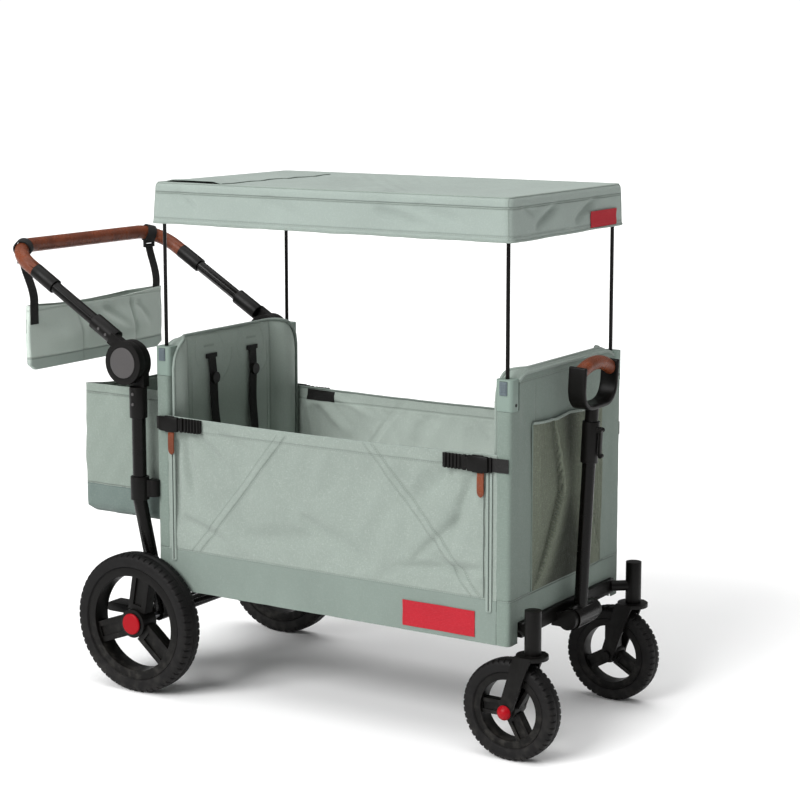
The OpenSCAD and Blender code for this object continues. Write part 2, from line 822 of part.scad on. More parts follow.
module floor_frame_rear() {
  tube_from = rear_pivot_x + end_neck;
  tube_to = mid_x - knee_neck;
  color(black) difference() {
    union() {
      both_sides() {
        floor_eye(rear_pivot_x);
        floor_neck(rear_pivot_x, tube_from + 1);
        floor_tube(tube_from, tube_to);
        for (y = [hinge_ear_y, -hinge_ear_y - hinge_ear_t])
          side_plate(floor_y + y, hinge_ear_t) {
            translate([tube_to - knee_lap, floor_z - hinge_eye_d / 2])
              square([mid_x - tube_to + knee_lap, hinge_eye_d]);
            translate([mid_x, floor_z]) circle(d = hinge_eye_d);
          }
        translate([mid_x, floor_y, floor_z]) bar_y(hinge_pin_d, hinge_eye_w + 2 * hinge_ear_t);
      }
      floor_cross(rear_pivot_x + arm_rest_x);
      floor_cross(mid_x - knee_cross);
    }
    both_sides() floor_bore(rear_pivot_x);
  }
}

module floor_frame_front() {
  tube_from = mid_x + knee_neck;
  tube_to = front_pivot_x - end_neck;
  color(black) difference() {
    union() {
      both_sides() {
        floor_eye(mid_x);
        floor_neck(mid_x, tube_from + 1);
        floor_tube(tube_from, tube_to);
        floor_neck(tube_to - 1, front_pivot_x);
        floor_eye(front_pivot_x);
      }
      floor_cross(front_pivot_x - arm_rest_x);
      floor_cross(mid_x + knee_cross);
    }
    both_sides() {
      floor_bore(mid_x);
      floor_bore(front_pivot_x);
    }
  }
}

// A stiff board with a mat on it, between two places along X
module floor_mat(from, to, mat_from, mat_to) {
  color(sage_dark) {
    translate([from, -mat_half_w, mat_bottom]) cube([to - from, 2 * mat_half_w, board_t]);
    translate([mat_from, -mat_half_w, mat_bottom + board_t])
      cube([mat_to - mat_from, 2 * mat_half_w, mat_t]);
  }
}

module floor_mat_rear()
  difference() {
    floor_mat(rear_pivot_x + board_end, mid_x - knee_slit, rear_pivot_x + mat_end, mid_x - knee_slit);
    fold_strap_block(seat_gap, 2 * seat_gap);
  }

module floor_mat_front()
  floor_mat(mid_x + knee_slit, front_pivot_x - board_end, mid_x + knee_slit, front_pivot_x - mat_end);

// The strap lies in a shallow bed in the rear mat, just below the mat's top
module fold_strap() color(black) fold_strap_block(0, 0);

module fold_strap_block(ease, above)
  translate([mid_x - knee_slit - fold_strap_in, 0, mat_top - seat_gap - fold_strap_t - ease])
    linear_extrude(fold_strap_t + ease + above)
      square([fold_strap_w + 2 * ease, fold_strap_l + 2 * ease], center = true);

// Front frame

module front_end_frame() color(black) end_frame(front_post_x, -1);

module front_pole_sockets() color(sage) pole_sockets(front_post_x, -1);

module front_end_cover() color(sage_dark) end_cover(front_post_x, -1);

module front_seat_back() color(sage_dark) seat_back(front_post_x, -1);

module front_harness() color(black) harness(front_post_x, -1);

module front_side_buckles() color(black)
  side_buckle(front_post_x + sleeve_w / 2 - front_band_l - 2, front_band_l, hem_z - front_band_drop, 60);

module mesh_pockets() {
  w = pocket_out - pocket_in;
  net_w = w - 2 * pocket_frame;
  net_h = pocket_h - 2 * pocket_frame;
  step_y = (net_w + pocket_cord) / pocket_cols;
  step_z = (net_h + pocket_cord) / pocket_rows;
  color(sage) both_sides()
    translate([front_post_x + sleeve_w / 2 + seat_gap, pocket_in, pocket_bottom])
      rotate([90, 0, 90]) linear_extrude(pocket_t) difference() {
        square([w, pocket_h]);
        for (i = [0 : pocket_cols - 1], j = [0 : pocket_rows - 1])
          translate([pocket_frame + i * step_y, pocket_frame + j * step_z])
            square([step_y - pocket_cord, step_z - pocket_cord]);
      }
}

// Beam under the front panel, with clips on the lower rail, the caster housings and the pull lugs
module front_beam() {
  lug_y = barrel_l / 2 + lug_gap;
  clip_h = 18;
  color(black) difference() {
    union() {
      translate([beam_front_x, -beam_front_l / 2, beam_front_z])
        cube([beam_front_w, beam_front_l, beam_front_h]);
      both_sides() {
        translate([front_post_x, beam_clip_y, floor_z]) bar_y(ring_d, ring_w);
        translate([front_post_x, beam_clip_y - ring_w / 2, floor_z - clip_h + 4])
          cube([beam_front_x - front_post_x + 1, ring_w, clip_h - 6]);
        translate([caster_x, caster_y, housing_bottom]) cylinder(d = housing_d, h = housing_h);
        rod([beam_front_x + beam_front_w - 2, caster_y - beam_arm_in, beam_front_z + beam_front_h / 2],
            [caster_x, caster_y, beam_front_z + beam_front_h / 2], beam_arm_d);
        side_plate(lug_y, lug_t) {
          translate([pull_x, pull_z]) circle(d = lug_d);
          translate([beam_front_x, pull_z - lug_d / 2 + 6])
            square([pull_x - beam_front_x, lug_d - 12]);
        }
      }
      translate([pull_x, 0, pull_z]) bar_y(pull_pin_d, barrel_l + 2 * lug_t);
    }
    translate([front_post_x, 0, floor_z]) bar_y(rail_d + 2 * run_gap, 2 * beam_clip_y + 2 * ring_w);
    both_sides() translate([caster_x, caster_y, housing_bottom - 1])
      cylinder(d = stem_d + 2 * run_gap, h = housing_h + 1 - housing_roof);
  }
}

// Casters

module caster_fork() {
  leg_in = front_wheel_w / 2 + wheel_side_gap;
  leg_out = leg_in + fork_leg_t;
  crown_z = crown_top - crown_t;
  back = fork_leg_w - 12;
  color(black) translate([caster_x, caster_y, 0]) difference() {
    union() {
      translate([0, 0, crown_z])
        cylinder(d = stem_d, h = housing_top - housing_roof - seat_gap - crown_z - 1);
      translate([0, 0, crown_top - 1]) cylinder(d = housing_d, h = 1 + seat_gap);
      translate([-back, -leg_out, crown_z]) cube([back + crown_front - leg_in, 2 * leg_out, crown_t]);
      translate([crown_front - leg_in, 0, crown_z]) intersection() {
        cylinder(r = leg_out, h = crown_t);
        translate([-leg_out, -leg_out, 0]) cube([2 * leg_out, 2 * leg_out, crown_t]);
      }
      both_sides() side_plate(leg_in, fork_leg_t) {
        polygon([
          [-back, crown_top], [fork_leg_w - back, crown_top],
          [-caster_trail + fork_boss_d / 2, front_axle_z], [-caster_trail - fork_boss_d / 2, front_axle_z]
        ]);
        translate([-caster_trail, front_axle_z]) circle(d = fork_boss_d);
      }
    }
    translate([-caster_trail, 0, front_axle_z]) bar_y(front_axle_d + 2 * run_gap, 4 * leg_out);
  }
}

// A bolt through the fork and the wheel, with a domed cap on the outside
module front_axle() {
  leg_out = front_wheel_w / 2 + wheel_side_gap + fork_leg_t;
  color(red) on_axle(front_axle_x, caster_y, front_axle_z) {
    cylinder(d = front_axle_d, h = 2 * leg_out, center = true);
    translate([0, 0, leg_out + seat_gap]) cylinder(d = 18, h = 4);
    cylinder(d = front_axle_d, h = leg_out + 1);
    translate([0, 0, -leg_out - seat_gap - front_cap_h]) intersection() {
      cylinder(d = front_cap_d, h = front_cap_h);
      translate([0, 0, front_cap_d / 2]) sphere(d = front_cap_d);
    }
    translate([0, 0, -leg_out - seat_gap - 1]) cylinder(d = front_axle_d, h = 2);
  }
}

module caster_fork_right() at_right() caster_fork();

module caster_fork_left() caster_fork();

module front_rim_right() at_right() front_rim(60);

module front_rim_left() front_rim(90);

module front_tyre_right() at_right() front_tyre();

module front_tyre_left() front_tyre();

module front_axle_right() at_right() front_axle();

module front_axle_left() front_axle();

module rear_rim_right() at_right() rear_rim();

module rear_rim_left() rear_rim();

module rear_tyre_right() at_right() rear_tyre();

module rear_tyre_left() rear_tyre();

// Push handle, in its own frame: +X runs along the arms from the hub axis

module in_handle() translate([hub_x, 0, hub_z]) rotate([0, 180 + handle_tilt, 0]) children();

module handle_path(d, start) {
  translate([0, 0, -arm_offset]) {
    both_sides() {
      rod([start, upright_y, 0], [bend_start, upright_y, 0], d);
      translate([bend_start, upright_y - bend_r, 0])
        rotate_extrude(angle = 90) translate([bend_r, 0]) circle(d = d);
    }
    translate([handle_reach, 0, 0]) bar_y(d, 2 * (upright_y - bend_r));
  }
}

module handle_bar() {
  start = arm_sleeve_start + arm_seat + seat_gap;
  color(black) in_handle() difference() {
    handle_path(arm_d, start);
    handle_path(arm_d - 2 * tube_wall, start - 1);
  }
}

module handle_grip() color(tan) in_handle() difference() {
  handle_path(grip_d, grip_start);
  handle_path(arm_d + 2 * run_gap, grip_start - 1);
}

// Moving halves of the hubs: the outer disc, its neck, the arm sleeve and the collar up the arm
module hub_arms() {
  half_w = hub_w / 2 - hub_split / 2;
  inner = upright_y + hub_split / 2;
  sleeve_d = arm_d + 2 * arm_sleeve_wall;
  neck_l = arm_sleeve_start + 6;
  color(black) in_handle() both_sides() {
    difference() {
      union() {
        translate([0, inner + half_w / 2, 0]) bar_y(hub_d, half_w);
        translate([0, inner, -arm_offset - arm_d / 2]) cube([neck_l, half_w - 1, arm_d]);
        rod([arm_sleeve_start, upright_y, -arm_offset],
            [arm_sleeve_start + arm_sleeve_l, upright_y, -arm_offset], sleeve_d);
      }
      translate([0, upright_y + hub_w / 2, 0]) bar_y(hub_button_d + 2 * seat_gap, 2 * hub_recess);
      translate([0, upright_y, 0]) bar_y(hub_pin_d + 2 * run_gap, hub_w);
      rod([arm_sleeve_start + arm_seat, upright_y, -arm_offset],
          [arm_sleeve_start + arm_sleeve_l + 1, upright_y, -arm_offset], arm_d + 2 * run_gap);
    }
    difference() {
      rod([collar_start, upright_y, -arm_offset],
          [collar_start + collar_l, upright_y, -arm_offset], arm_d + 2 * collar_wall);
      rod([collar_start - 1, upright_y, -arm_offset],
          [collar_start + collar_l + 1, upright_y, -arm_offset], arm_d + 2 * run_gap);
    }
  }
}

module hub_button() {
  outer = upright_y + hub_w / 2 + hub_button_proud;
  color(grey) translate([hub_x, outer - hub_button_t / 2, hub_z]) bar_y(hub_button_d, hub_button_t);
}

module hub_button_right() at_right() hub_button();

module hub_button_left() hub_button();

// Loops round the grip's bends, each with a ring bar that the organizer hangs from
module organizer_loops() {
  cheek_y = web_w / 2 + seat_gap + 1;
  color(black) both_sides() {
    difference() {
      union() {
        in_handle() loop_band(loop_d);
        translate([loop_x, loop_y, 0]) {
          for (y = [cheek_y, -cheek_y - cheek_t]) translate([-4, y, ring_z - 4])
            cube([8, cheek_t, loop_z - ring_z]);
          translate([0, 0, ring_z]) bar_y(ring_bar_d, 2 * cheek_y + 2 * cheek_t);
          translate([-4, -cheek_y - cheek_t, ring_z + ring_drop - 3])
            cube([8, 2 * cheek_y + 2 * cheek_t, 6]);
        }
      }
      in_handle() handle_path(grip_d + 2 * seat_gap, grip_start);
      in_handle() loop_band(grip_d + 2 * loop_ease);
    }
  }
}
module loop_band(d)
  translate([bend_start, upright_y - bend_r, -arm_offset]) rotate(90 - loop_turn)
    translate([bend_r, 0, 0]) bar_y(d, loop_w);

// Organizer seen from above: flat at the front, and drawn in to thin ends at the back
module pouch_plan(inset) {
  slope = pouch_taper / (pouch_depth - pouch_end);
  front = pouch_depth / 2 - inset;
  back = inset - pouch_depth / 2;
  half = pouch_w / 2 - inset;
  turn = pouch_depth / 2 - pouch_end + inset * (sqrt(1 + slope * slope) - 1) / slope;
  back_half = half - slope * (turn - back);
  polygon([[front, -half], [front, half], [turn, half], [back, back_half], [back, -back_half], [turn, -half]]);
}

module organizer_pouch() {
  color(sage) translate([loop_x, 0, pouch_top - pouch_h]) difference() {
    linear_extrude(pouch_h) pouch_plan(0);
    translate([0, 0, pouch_wall]) linear_extrude(pouch_h) pouch_plan(pouch_wall);
  }
}

// Straps from the ring bars down over the front of the organizer
module organizer_straps() {
  lap_x = pouch_front_x + seat_gap;
  shoulder = pouch_top + 4;
  lap_bottom = pouch_top - strap_lap;
  color(black) both_sides() side_plate(loop_y - web_w / 2, web_w) difference() {
    union() {
      translate([loop_x, ring_z]) circle(d = web_eye_d);
      polygon([
        [loop_x - web_t / 2, ring_z], [lap_x, shoulder], [lap_x, lap_bottom],
        [lap_x + web_t, lap_bottom], [lap_x + web_t, shoulder], [loop_x + web_t / 2, ring_z]
      ]);
    }
    translate([loop_x, ring_z]) circle(d = ring_bar_d + 2 * run_gap);
  }
}

// Pull handle, in its own frame: +Z runs up the tube from the pivot

module in_pull() translate([pull_x, 0, pull_z]) rotate([0, pull_lean, 0]) children();

module pull_tube() {
  color(black) in_pull() difference() {
    union() {
      bar_y(barrel_d, barrel_l);
      cylinder(d = pull_tube_d, h = pull_tube_l - seat_gap);
    }
    bar_y(pull_pin_d + 2 * run_gap, barrel_l + 2);
    translate([0, 0, pull_tube_l - inner_seat - 10])
      cylinder(d = inner_d + 2 * inner_ease, h = inner_seat + 20);
  }
}

module pull_sleeve() {
  sleeve_d = pull_tube_d + 2 * sleeve_wall;
  ear_y = lever_w / 2 + seat_gap;
  color(black) in_pull() difference() {
    union() {
      translate([0, 0, pull_tube_l - sleeve_l]) cylinder(d = sleeve_d, h = sleeve_l);
      for (y = [ear_y, -ear_y - cheek_t]) side_plate(y, cheek_t) {
        translate([lever_pin_x, lever_pin_z]) circle(d = 10);
        translate([pull_tube_d / 2, lever_pin_z - 5]) square([lever_pin_x - pull_tube_d / 2, 10]);
      }
      translate([lever_pin_x, 0, lever_pin_z]) bar_y(lever_pin_d, 2 * ear_y + 2 * cheek_t);
    }
    translate([0, 0, pull_tube_l - sleeve_l - 1])
      cylinder(d = pull_tube_d + 2 * run_gap, h = sleeve_l + 1);
    cylinder(d = inner_d + 2 * inner_ease, h = pull_tube_l + 1);
  }
}

// Release lever at the front of the lock sleeve
module pull_lever() {
  color(black) in_pull() difference() {
    side_plate(-lever_w / 2, lever_w) {
      translate([lever_pin_x, lever_pin_z]) circle(d = 8);
      translate([lever_pin_x - lever_t / 2, lever_pin_z - lever_l]) square([lever_t, lever_l]);
      translate([lever_pin_x + 3, lever_pin_z - lever_l]) circle(d = 9);
    }
    translate([lever_pin_x, 0, lever_pin_z]) bar_y(lever_pin_d + 2 * run_gap, 2 * lever_w);
  }
}

// A bar of profile d that arches between the legs of the pull handle's grip, over a half length
module grip_arch(half, d) {
  turn = asin(half / arch_r);
  translate([0, 0, arch_z - arch_r]) rotate([90, 0, 90]) rotate(90 - turn)
    rotate_extrude(angle = 2 * turn) translate([arch_r, 0]) circle(d = d);
}

// Inner tube with the grip frame on top: a U of flat legs, closed by the core of the leather grip
module pull_grip_frame() {
  base = pull_tube_l + frame_neck;
  tall = pull_grip_h + 2 * frame_r;
  color(black) in_pull() {
    translate([0, 0, pull_tube_l - inner_seat]) cylinder(d = inner_d, h = inner_seat + frame_neck + 2);
    translate([0, 0, pull_tube_l + seat_gap]) cylinder(d = pull_tube_d, h = frame_neck + 2);
    difference() {
      translate([0, 0, base + tall / 2]) rotate([90, 0, 90])
        linear_extrude(frame_depth, center = true) difference() {
          round_rect(pull_grip_w, tall, frame_r);
          round_rect(leg_gap, tall - 2 * frame_t, frame_r - frame_t);
        }
      translate([-frame_depth, -pull_grip_w / 2 - 1, leg_top])
        cube([2 * frame_depth, pull_grip_w + 2, tall]);
    }
    grip_arch(leg_gap / 2 + frame_t / 2, grip_core_d);
  }
}

// Leather grip round the core, cut off at the legs
module pull_grip() {
  reach = leg_gap - 2 * seat_gap;
  color(tan) in_pull() difference() {
    intersection() {
      grip_arch(leg_gap / 2 + frame_t, pull_grip_d);
      translate([0, 0, arch_z]) cube([2 * pull_grip_d, reach, 2 * pull_grip_w], center = true);
    }
    grip_arch(leg_gap / 2 + 2 * frame_t, grip_core_d + 2 * run_gap);
  }
}

// Canopy

module canopy_hoop(x) {
  bottom = socket_top - pole_seat;
  color(black) {
    both_sides() {
      translate([x, post_y, bottom]) cylinder(d = pole_d, h = hoop_z - bottom);
      translate([x, post_y, hoop_z]) sphere(d = pole_d);
    }
    translate([x, 0, hoop_z]) bar_y(pole_d, 2 * post_y);
  }
}

module canopy_hoop_rear() canopy_hoop(rear_post_x);

module canopy_hoop_front() canopy_hoop(front_post_x);

// Outline of the canopy at a given inset: straight runs in steps and arcs at the corners
function canopy_outline(half_l, half_w, r) =
  let (steps = 6, arc = 5, cx = half_l - r, cy = half_w - r)
    concat(
      [for (k = [0 : steps - 1]) [half_l, -cy + 2 * cy * k / steps]],
      [for (k = [0 : arc - 1]) [cx + r * cos(90 * k / arc), cy + r * sin(90 * k / arc)]],
      [for (k = [0 : steps - 1]) [cx - 2 * cx * k / steps, half_w]],
      [for (k = [0 : arc - 1]) [-cx - r * sin(90 * k / arc), cy + r * cos(90 * k / arc)]],
      [for (k = [0 : steps - 1]) [-half_l, cy - 2 * cy * k / steps]],
      [for (k = [0 : arc - 1]) [-cx - r * cos(90 * k / arc), -cy - r * sin(90 * k / arc)]],
      [for (k = [0 : steps - 1]) [-cx + 2 * cx * k / steps, -half_w]],
      [for (k = [0 : arc - 1]) [cx + r * sin(90 * k / arc), -cy - r * cos(90 * k / arc)]]
    );

// Cloth of the canopy: an outer and an inner skin of rings, from the hem over the edge to the middle
module canopy_cover() {
  half_l = post_span / 2 + canopy_over;
  half_w = canopy_w / 2;
  edge = 8;
  shrink = [1, 0.8, 0.55, 0.3, 0.1];
  skin = function (t)
    let (
      l = half_l - t,
      w = half_w - t,
      r = canopy_r - t,
      top = canopy_top - t,
      ring = canopy_outline(l, w, r),
      brow = canopy_outline(l - edge * 0.3, w - edge * 0.3, r - edge * 0.3),
      crest = canopy_outline(l - edge, w - edge, r - edge)
    )
      concat(
        [for (p = ring) [p.x, p.y, canopy_hem]],
        [for (p = ring) [p.x, p.y, (canopy_hem + top) / 2]],
        [for (p = ring) [p.x, p.y, top - edge]],
        [for (p = brow) [p.x, p.y, top - edge * 0.3]],
        [for (f = shrink, p = crest) [p.x * f, p.y * f, top - canopy_dip(p.x * f / half_l, p.y * f / half_w)]]
      );
  outer = skin(0);
  inner = skin(canopy_cloth);
  n = len(canopy_outline(half_l, half_w, canopy_r));
  rings = 4 + len(shrink);
  m = len(outer);
  quads = [for (k = [0 : rings - 2], i = [0 : n - 1]) [k * n + i, k * n + (i + 1) % n]];
  centre = 2 * m;
  last = (rings - 1) * n;
  points = concat(outer, inner,
    [[0, 0, canopy_top - canopy_sag], [0, 0, canopy_top - canopy_cloth - canopy_sag]]);
  faces = concat(
    [for (q = quads) [q[0], q[1] + n, q[1]]],
    [for (q = quads) [q[0], q[0] + n, q[1] + n]],
    [for (q = quads) [m + q[0], m + q[1], m + q[1] + n]],
    [for (q = quads) [m + q[0], m + q[1] + n, m + q[0] + n]],
    [for (i = [0 : n - 1]) [last + i, centre, last + (i + 1) % n]],
    [for (i = [0 : n - 1]) [m + last + i, m + last + (i + 1) % n, centre + 1]],
    [for (i = [0 : n - 1]) [i, (i + 1) % n, m + (i + 1) % n]],
    [for (i = [0 : n - 1]) [i, m + (i + 1) % n, m + i]]
  );
  color(sage) translate([mid_x, 0, 0]) polyhedron(points, faces);
}
function canopy_dip(u, v) = canopy_sag * (1 - u * u) * (1 - v * v);

module pole_button_rear_right() at_right() pole_button(rear_post_x);

module pole_button_rear_left() pole_button(rear_post_x);

module pole_button_front_right() at_right() pole_button(front_post_x);

module pole_button_front_left() pole_button(front_post_x);

rear_end_frame();
rear_pole_sockets();
push_frame();
upright_clamps();
hub_sockets();
rear_axle();
rear_axle_caps();
rear_end_cover();
rear_seat_back();
rear_harness();
side_wall_right();
side_wall_left();
rear_side_buckles();
storage_bag();
floor_frame_rear();
floor_mat_rear();
floor_frame_front();
floor_mat_front();
fold_strap();
front_end_frame();
front_pole_sockets();
front_end_cover();
front_seat_back();
front_harness();
front_beam();
front_side_buckles();
mesh_pockets();
caster_fork_right();
caster_fork_left();
front_rim_right();
front_rim_left();
front_tyre_right();
front_tyre_left();
front_axle_right();
front_axle_left();
rear_rim_right();
rear_rim_left();
rear_tyre_right();
rear_tyre_left();
handle_bar();
handle_grip();
hub_arms();
organizer_loops();
hub_button_right();
hub_button_left();
organizer_pouch();
organizer_straps();
pull_tube();
pull_sleeve();
pull_grip_frame();
pull_grip();
pull_lever();
canopy_hoop_rear();
canopy_hoop_front();
canopy_cover();
brake_pedal();
pole_button_rear_right();
pole_button_rear_left();
pole_button_front_right();
pole_button_front_left();
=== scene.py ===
# %% [markdown]
# # A stroller wagon
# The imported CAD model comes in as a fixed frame, and this lesson dresses it: cloth, leather,
# rubber and moulded plastic over tubes that already have their true size and place.
# Every length is in metres. +X points forwards to the pull handle and +Z points up.

# %% Frame, camera and studio
import json
import math

import bpy
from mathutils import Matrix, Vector

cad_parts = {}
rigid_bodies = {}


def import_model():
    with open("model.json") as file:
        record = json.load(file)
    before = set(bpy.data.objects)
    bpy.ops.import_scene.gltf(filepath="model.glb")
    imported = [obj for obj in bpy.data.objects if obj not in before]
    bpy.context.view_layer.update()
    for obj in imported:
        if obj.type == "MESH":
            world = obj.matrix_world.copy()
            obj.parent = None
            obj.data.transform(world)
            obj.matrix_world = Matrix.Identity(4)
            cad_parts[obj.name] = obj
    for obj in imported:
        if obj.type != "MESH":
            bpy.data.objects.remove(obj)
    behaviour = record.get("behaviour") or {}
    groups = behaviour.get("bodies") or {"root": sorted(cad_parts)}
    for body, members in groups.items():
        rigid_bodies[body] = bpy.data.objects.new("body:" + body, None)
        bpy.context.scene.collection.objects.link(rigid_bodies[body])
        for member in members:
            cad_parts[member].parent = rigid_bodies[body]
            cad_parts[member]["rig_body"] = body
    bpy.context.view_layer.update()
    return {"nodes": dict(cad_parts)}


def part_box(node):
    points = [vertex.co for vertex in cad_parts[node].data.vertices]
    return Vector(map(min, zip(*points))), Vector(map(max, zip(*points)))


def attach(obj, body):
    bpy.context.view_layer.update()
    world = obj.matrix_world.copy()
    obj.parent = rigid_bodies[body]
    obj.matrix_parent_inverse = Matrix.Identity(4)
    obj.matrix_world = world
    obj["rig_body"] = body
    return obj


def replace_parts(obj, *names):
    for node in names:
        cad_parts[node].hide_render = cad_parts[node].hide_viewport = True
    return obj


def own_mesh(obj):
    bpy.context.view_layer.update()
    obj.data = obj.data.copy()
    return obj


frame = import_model()
nodes = frame["nodes"]

CAMERA_PLACE = Vector((2.4445, -3.5996, 1.3819))
CAMERA_AZIMUTH = math.radians(32.018)
CAMERA_ELEVATION = math.radians(8.381)
CAMERA_LENS = 92.05
CAMERA_SHIFT = (-0.0040, -0.0660)


def add_camera():
    """The camera that was fitted to the photograph from the two wheel sizes."""
    back = Vector((
        math.sin(CAMERA_AZIMUTH) * math.cos(CAMERA_ELEVATION),
        -math.cos(CAMERA_AZIMUTH) * math.cos(CAMERA_ELEVATION),
        math.sin(CAMERA_ELEVATION),
    ))
    bpy.ops.object.camera_add(location=CAMERA_PLACE)
    camera = bpy.context.object
    camera.rotation_euler = (-back).to_track_quat("-Z", "Y").to_euler()
    camera.data.lens = CAMERA_LENS
    camera.data.sensor_width = 36
    camera.data.shift_x, camera.data.shift_y = CAMERA_SHIFT
    bpy.context.scene.camera = camera


def add_soft_light(towards_light, strength, spread):
    """A wide light from far away. Its spread in degrees sets how soft the shadows are."""
    bpy.ops.object.light_add(type="SUN", location=5 * Vector(towards_light))
    light = bpy.context.object
    light.data.energy = strength
    light.data.angle = math.radians(spread)
    light.rotation_euler = (-Vector(towards_light)).to_track_quat("-Z", "Y").to_euler()


def add_world(strength):
    """An even white room, whose walls look white even where they give less light."""
    world = bpy.data.worlds.new("studio")
    bpy.context.scene.world = world
    world.use_nodes = True
    tree = world.node_tree
    tree.nodes["Background"].inputs["Color"].default_value = (1, 1, 1, 1)
    seen = tree.nodes.new("ShaderNodeMapRange")
    seen.inputs["To Min"].default_value = strength
    seen.inputs["To Max"].default_value = 1.05
    tree.links.new(tree.nodes.new("ShaderNodeLightPath").outputs["Is Camera Ray"], seen.inputs["Value"])
    tree.links.new(seen.outputs[0], tree.nodes["Background"].inputs["Strength"])


add_camera()
add_world(strength=0.22)
add_soft_light((0, 0, 1), strength=2.2, spread=70)
add_soft_light((-0.20, -0.81, 0.55), strength=3.4, spread=34)
bpy.context.scene.view_settings.view_transform = "Standard"
print("frame of", len(nodes), "nodes, camera and studio lights")

# %% [markdown]
# ## Hands on the mesh
# A few small tools do all the modelling. A sheet starts as a grid whose points a formula moves,
# a tube is a curve with a round section, a turned part is a profile swept about its axis, and a
# rigid part is a copy of its CAD mesh with the sharp edges bevelled, as a mould would leave them.

# %% Modelling tools


def only(*objs):
    """Selects these objects alone. The last one is active."""
    bpy.ops.object.select_all(action="DESELECT")
    for o in objs:
        o.select_set(True)
    bpy.context.view_layer.objects.active = objs[-1]


def apply_modifiers(o):
    only(o)
    for modifier in list(o.modifiers):
        bpy.ops.object.modifier_apply(modifier=modifier.name)
    return o


def edit_mesh(o, *steps):
    """Goes into edit mode with the whole mesh selected, takes the steps and comes back."""
    only(o)
    bpy.ops.object.mode_set(mode="EDIT")
    bpy.ops.mesh.select_all(action="SELECT")
    for step in steps:
        step()
    bpy.ops.object.mode_set(mode="OBJECT")
    return o


def clean(o, gap=0.00001):
    """Merges points that share a place, and turns every face outwards."""
    return edit_mesh(
        o,
        lambda: bpy.ops.mesh.remove_doubles(threshold=gap),
        lambda: bpy.ops.mesh.normals_make_consistent(inside=False),
    )


def cut_away(o, at, normal, inner=False, outer=False):
    """Cuts a closed mesh at a plane, drops one side of it and fills the cut."""
    return edit_mesh(o, lambda: bpy.ops.mesh.bisect(
        plane_co=at, plane_no=normal, use_fill=True, clear_inner=inner, clear_outer=outer))


def grid(name, cols, rows, place):
    """A grid whose points go where place(column, row) says."""
    bpy.ops.mesh.primitive_grid_add(x_subdivisions=cols, y_subdivisions=rows, size=1)
    o = bpy.context.object
    o.name = name
    o.data.name = name
    for v in o.data.vertices:
        v.co = place(round((v.co.x + 0.5) * cols), round((v.co.y + 0.5) * rows))
    return o


def thicken(o, thickness, offset=-1.0):
    """Gives a sheet its thickness, on the side away from its normals for an offset of -1."""
    modifier = o.modifiers.new("Thickness", "SOLIDIFY")
    modifier.thickness = thickness
    modifier.offset = offset
    return apply_modifiers(o)


def soften(o, levels=1):
    modifier = o.modifiers.new("Soft", "SUBSURF")
    modifier.levels = levels
    modifier.render_levels = levels
    return apply_modifiers(o)


def bevel(o, width, segments=2, angle=35):
    modifier = o.modifiers.new("Edge", "BEVEL")
    modifier.width = width
    modifier.segments = segments
    modifier.limit_method = "ANGLE"
    modifier.angle_limit = math.radians(angle)
    return apply_modifiers(o)


def block(name, low, high, edge=0.001, segments=2):
    """A bevelled block between two corners."""
    low, high = Vector(low), Vector(high)
    bpy.ops.mesh.primitive_cube_add(size=1, location=(low + high) / 2)
    o = bpy.context.object
    o.name = name
    o.data.name = name
    o.scale = high - low
    bpy.ops.object.transform_apply(location=True, rotation=True, scale=True)
    return bevel(o, edge, segments)


def tube(name, points, radius, closed=False, roundness=3):
    """A round cord along a line of points."""
    line = bpy.data.curves.new(name, "CURVE")
    line.dimensions = "3D"
    line.bevel_depth = radius
    line.bevel_resolution = roundness
    line.use_fill_caps = not closed
    spline = line.splines.new("POLY")
    spline.points.add(len(points) - 1)
    for knot, point in zip(spline.points, points):
        knot.co = (*point, 1)
    spline.use_cyclic_u = closed
    o = bpy.data.objects.new(name, line)
    bpy.context.scene.collection.objects.link(o)
    only(o)
    bpy.ops.object.convert(target="MESH")
    return bpy.context.object


def cloth_piece(name, cols, rows, place, thickness, material, angle=40):
    """A small piece of cloth or tape: a grid with its thickness, half on each side, and its material."""
    return coat(clean(thicken(grid(name, cols, rows, place), thickness, 0)), material, angle)


def strap(name, points, across, width, thickness):
    """Flat webbing along a line of points, with its width along a fixed direction."""
    across = Vector(across).normalized()

    def place(i, j):
        return Vector(points[j]) + across * width * (i / 4 - 0.5)

    return clean(thicken(grid(name, 4, len(points) - 1, place), thickness, 0))


def turned(name, profile, centre, turn=64):
    """A profile of (radius, y) swept about an axle that runs along Y."""
    centre = Vector(centre)

    def place(i, j):
        angle = 2 * math.pi * i / turn
        radius, y = profile[j]
        return centre + Vector((radius * math.cos(angle), y, radius * math.sin(angle)))

    return clean(grid(name, turn, len(profile) - 1, place))


def joined(name, parts):
    only(*parts)
    if len(parts) > 1:
        bpy.ops.object.join()
    o = bpy.context.object
    o.name = name
    o.data.name = name
    return o


def coat(o, material, angle=40):
    """Gives a piece its material and smooth shading up to an angle."""
    o.data.materials.clear()
    o.data.materials.append(material)
    only(o)
    bpy.ops.object.shade_smooth_by_angle(angle=math.radians(angle))
    return o


def hand_over(o, body, slot, *stands_for):
    """Ties a finished piece to its body and to the nodes that it stands for, which it hides. The slot is not
    used.
    """
    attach(o, body)
    if stands_for:
        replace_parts(o, *stands_for)
    return o


def cad_copy(node, name):
    """A copy of a node's mesh with its own points merged."""
    o = bpy.data.objects.new(name, nodes[node].data.copy())
    bpy.context.scene.collection.objects.link(o)
    return clean(o, 0.000002)


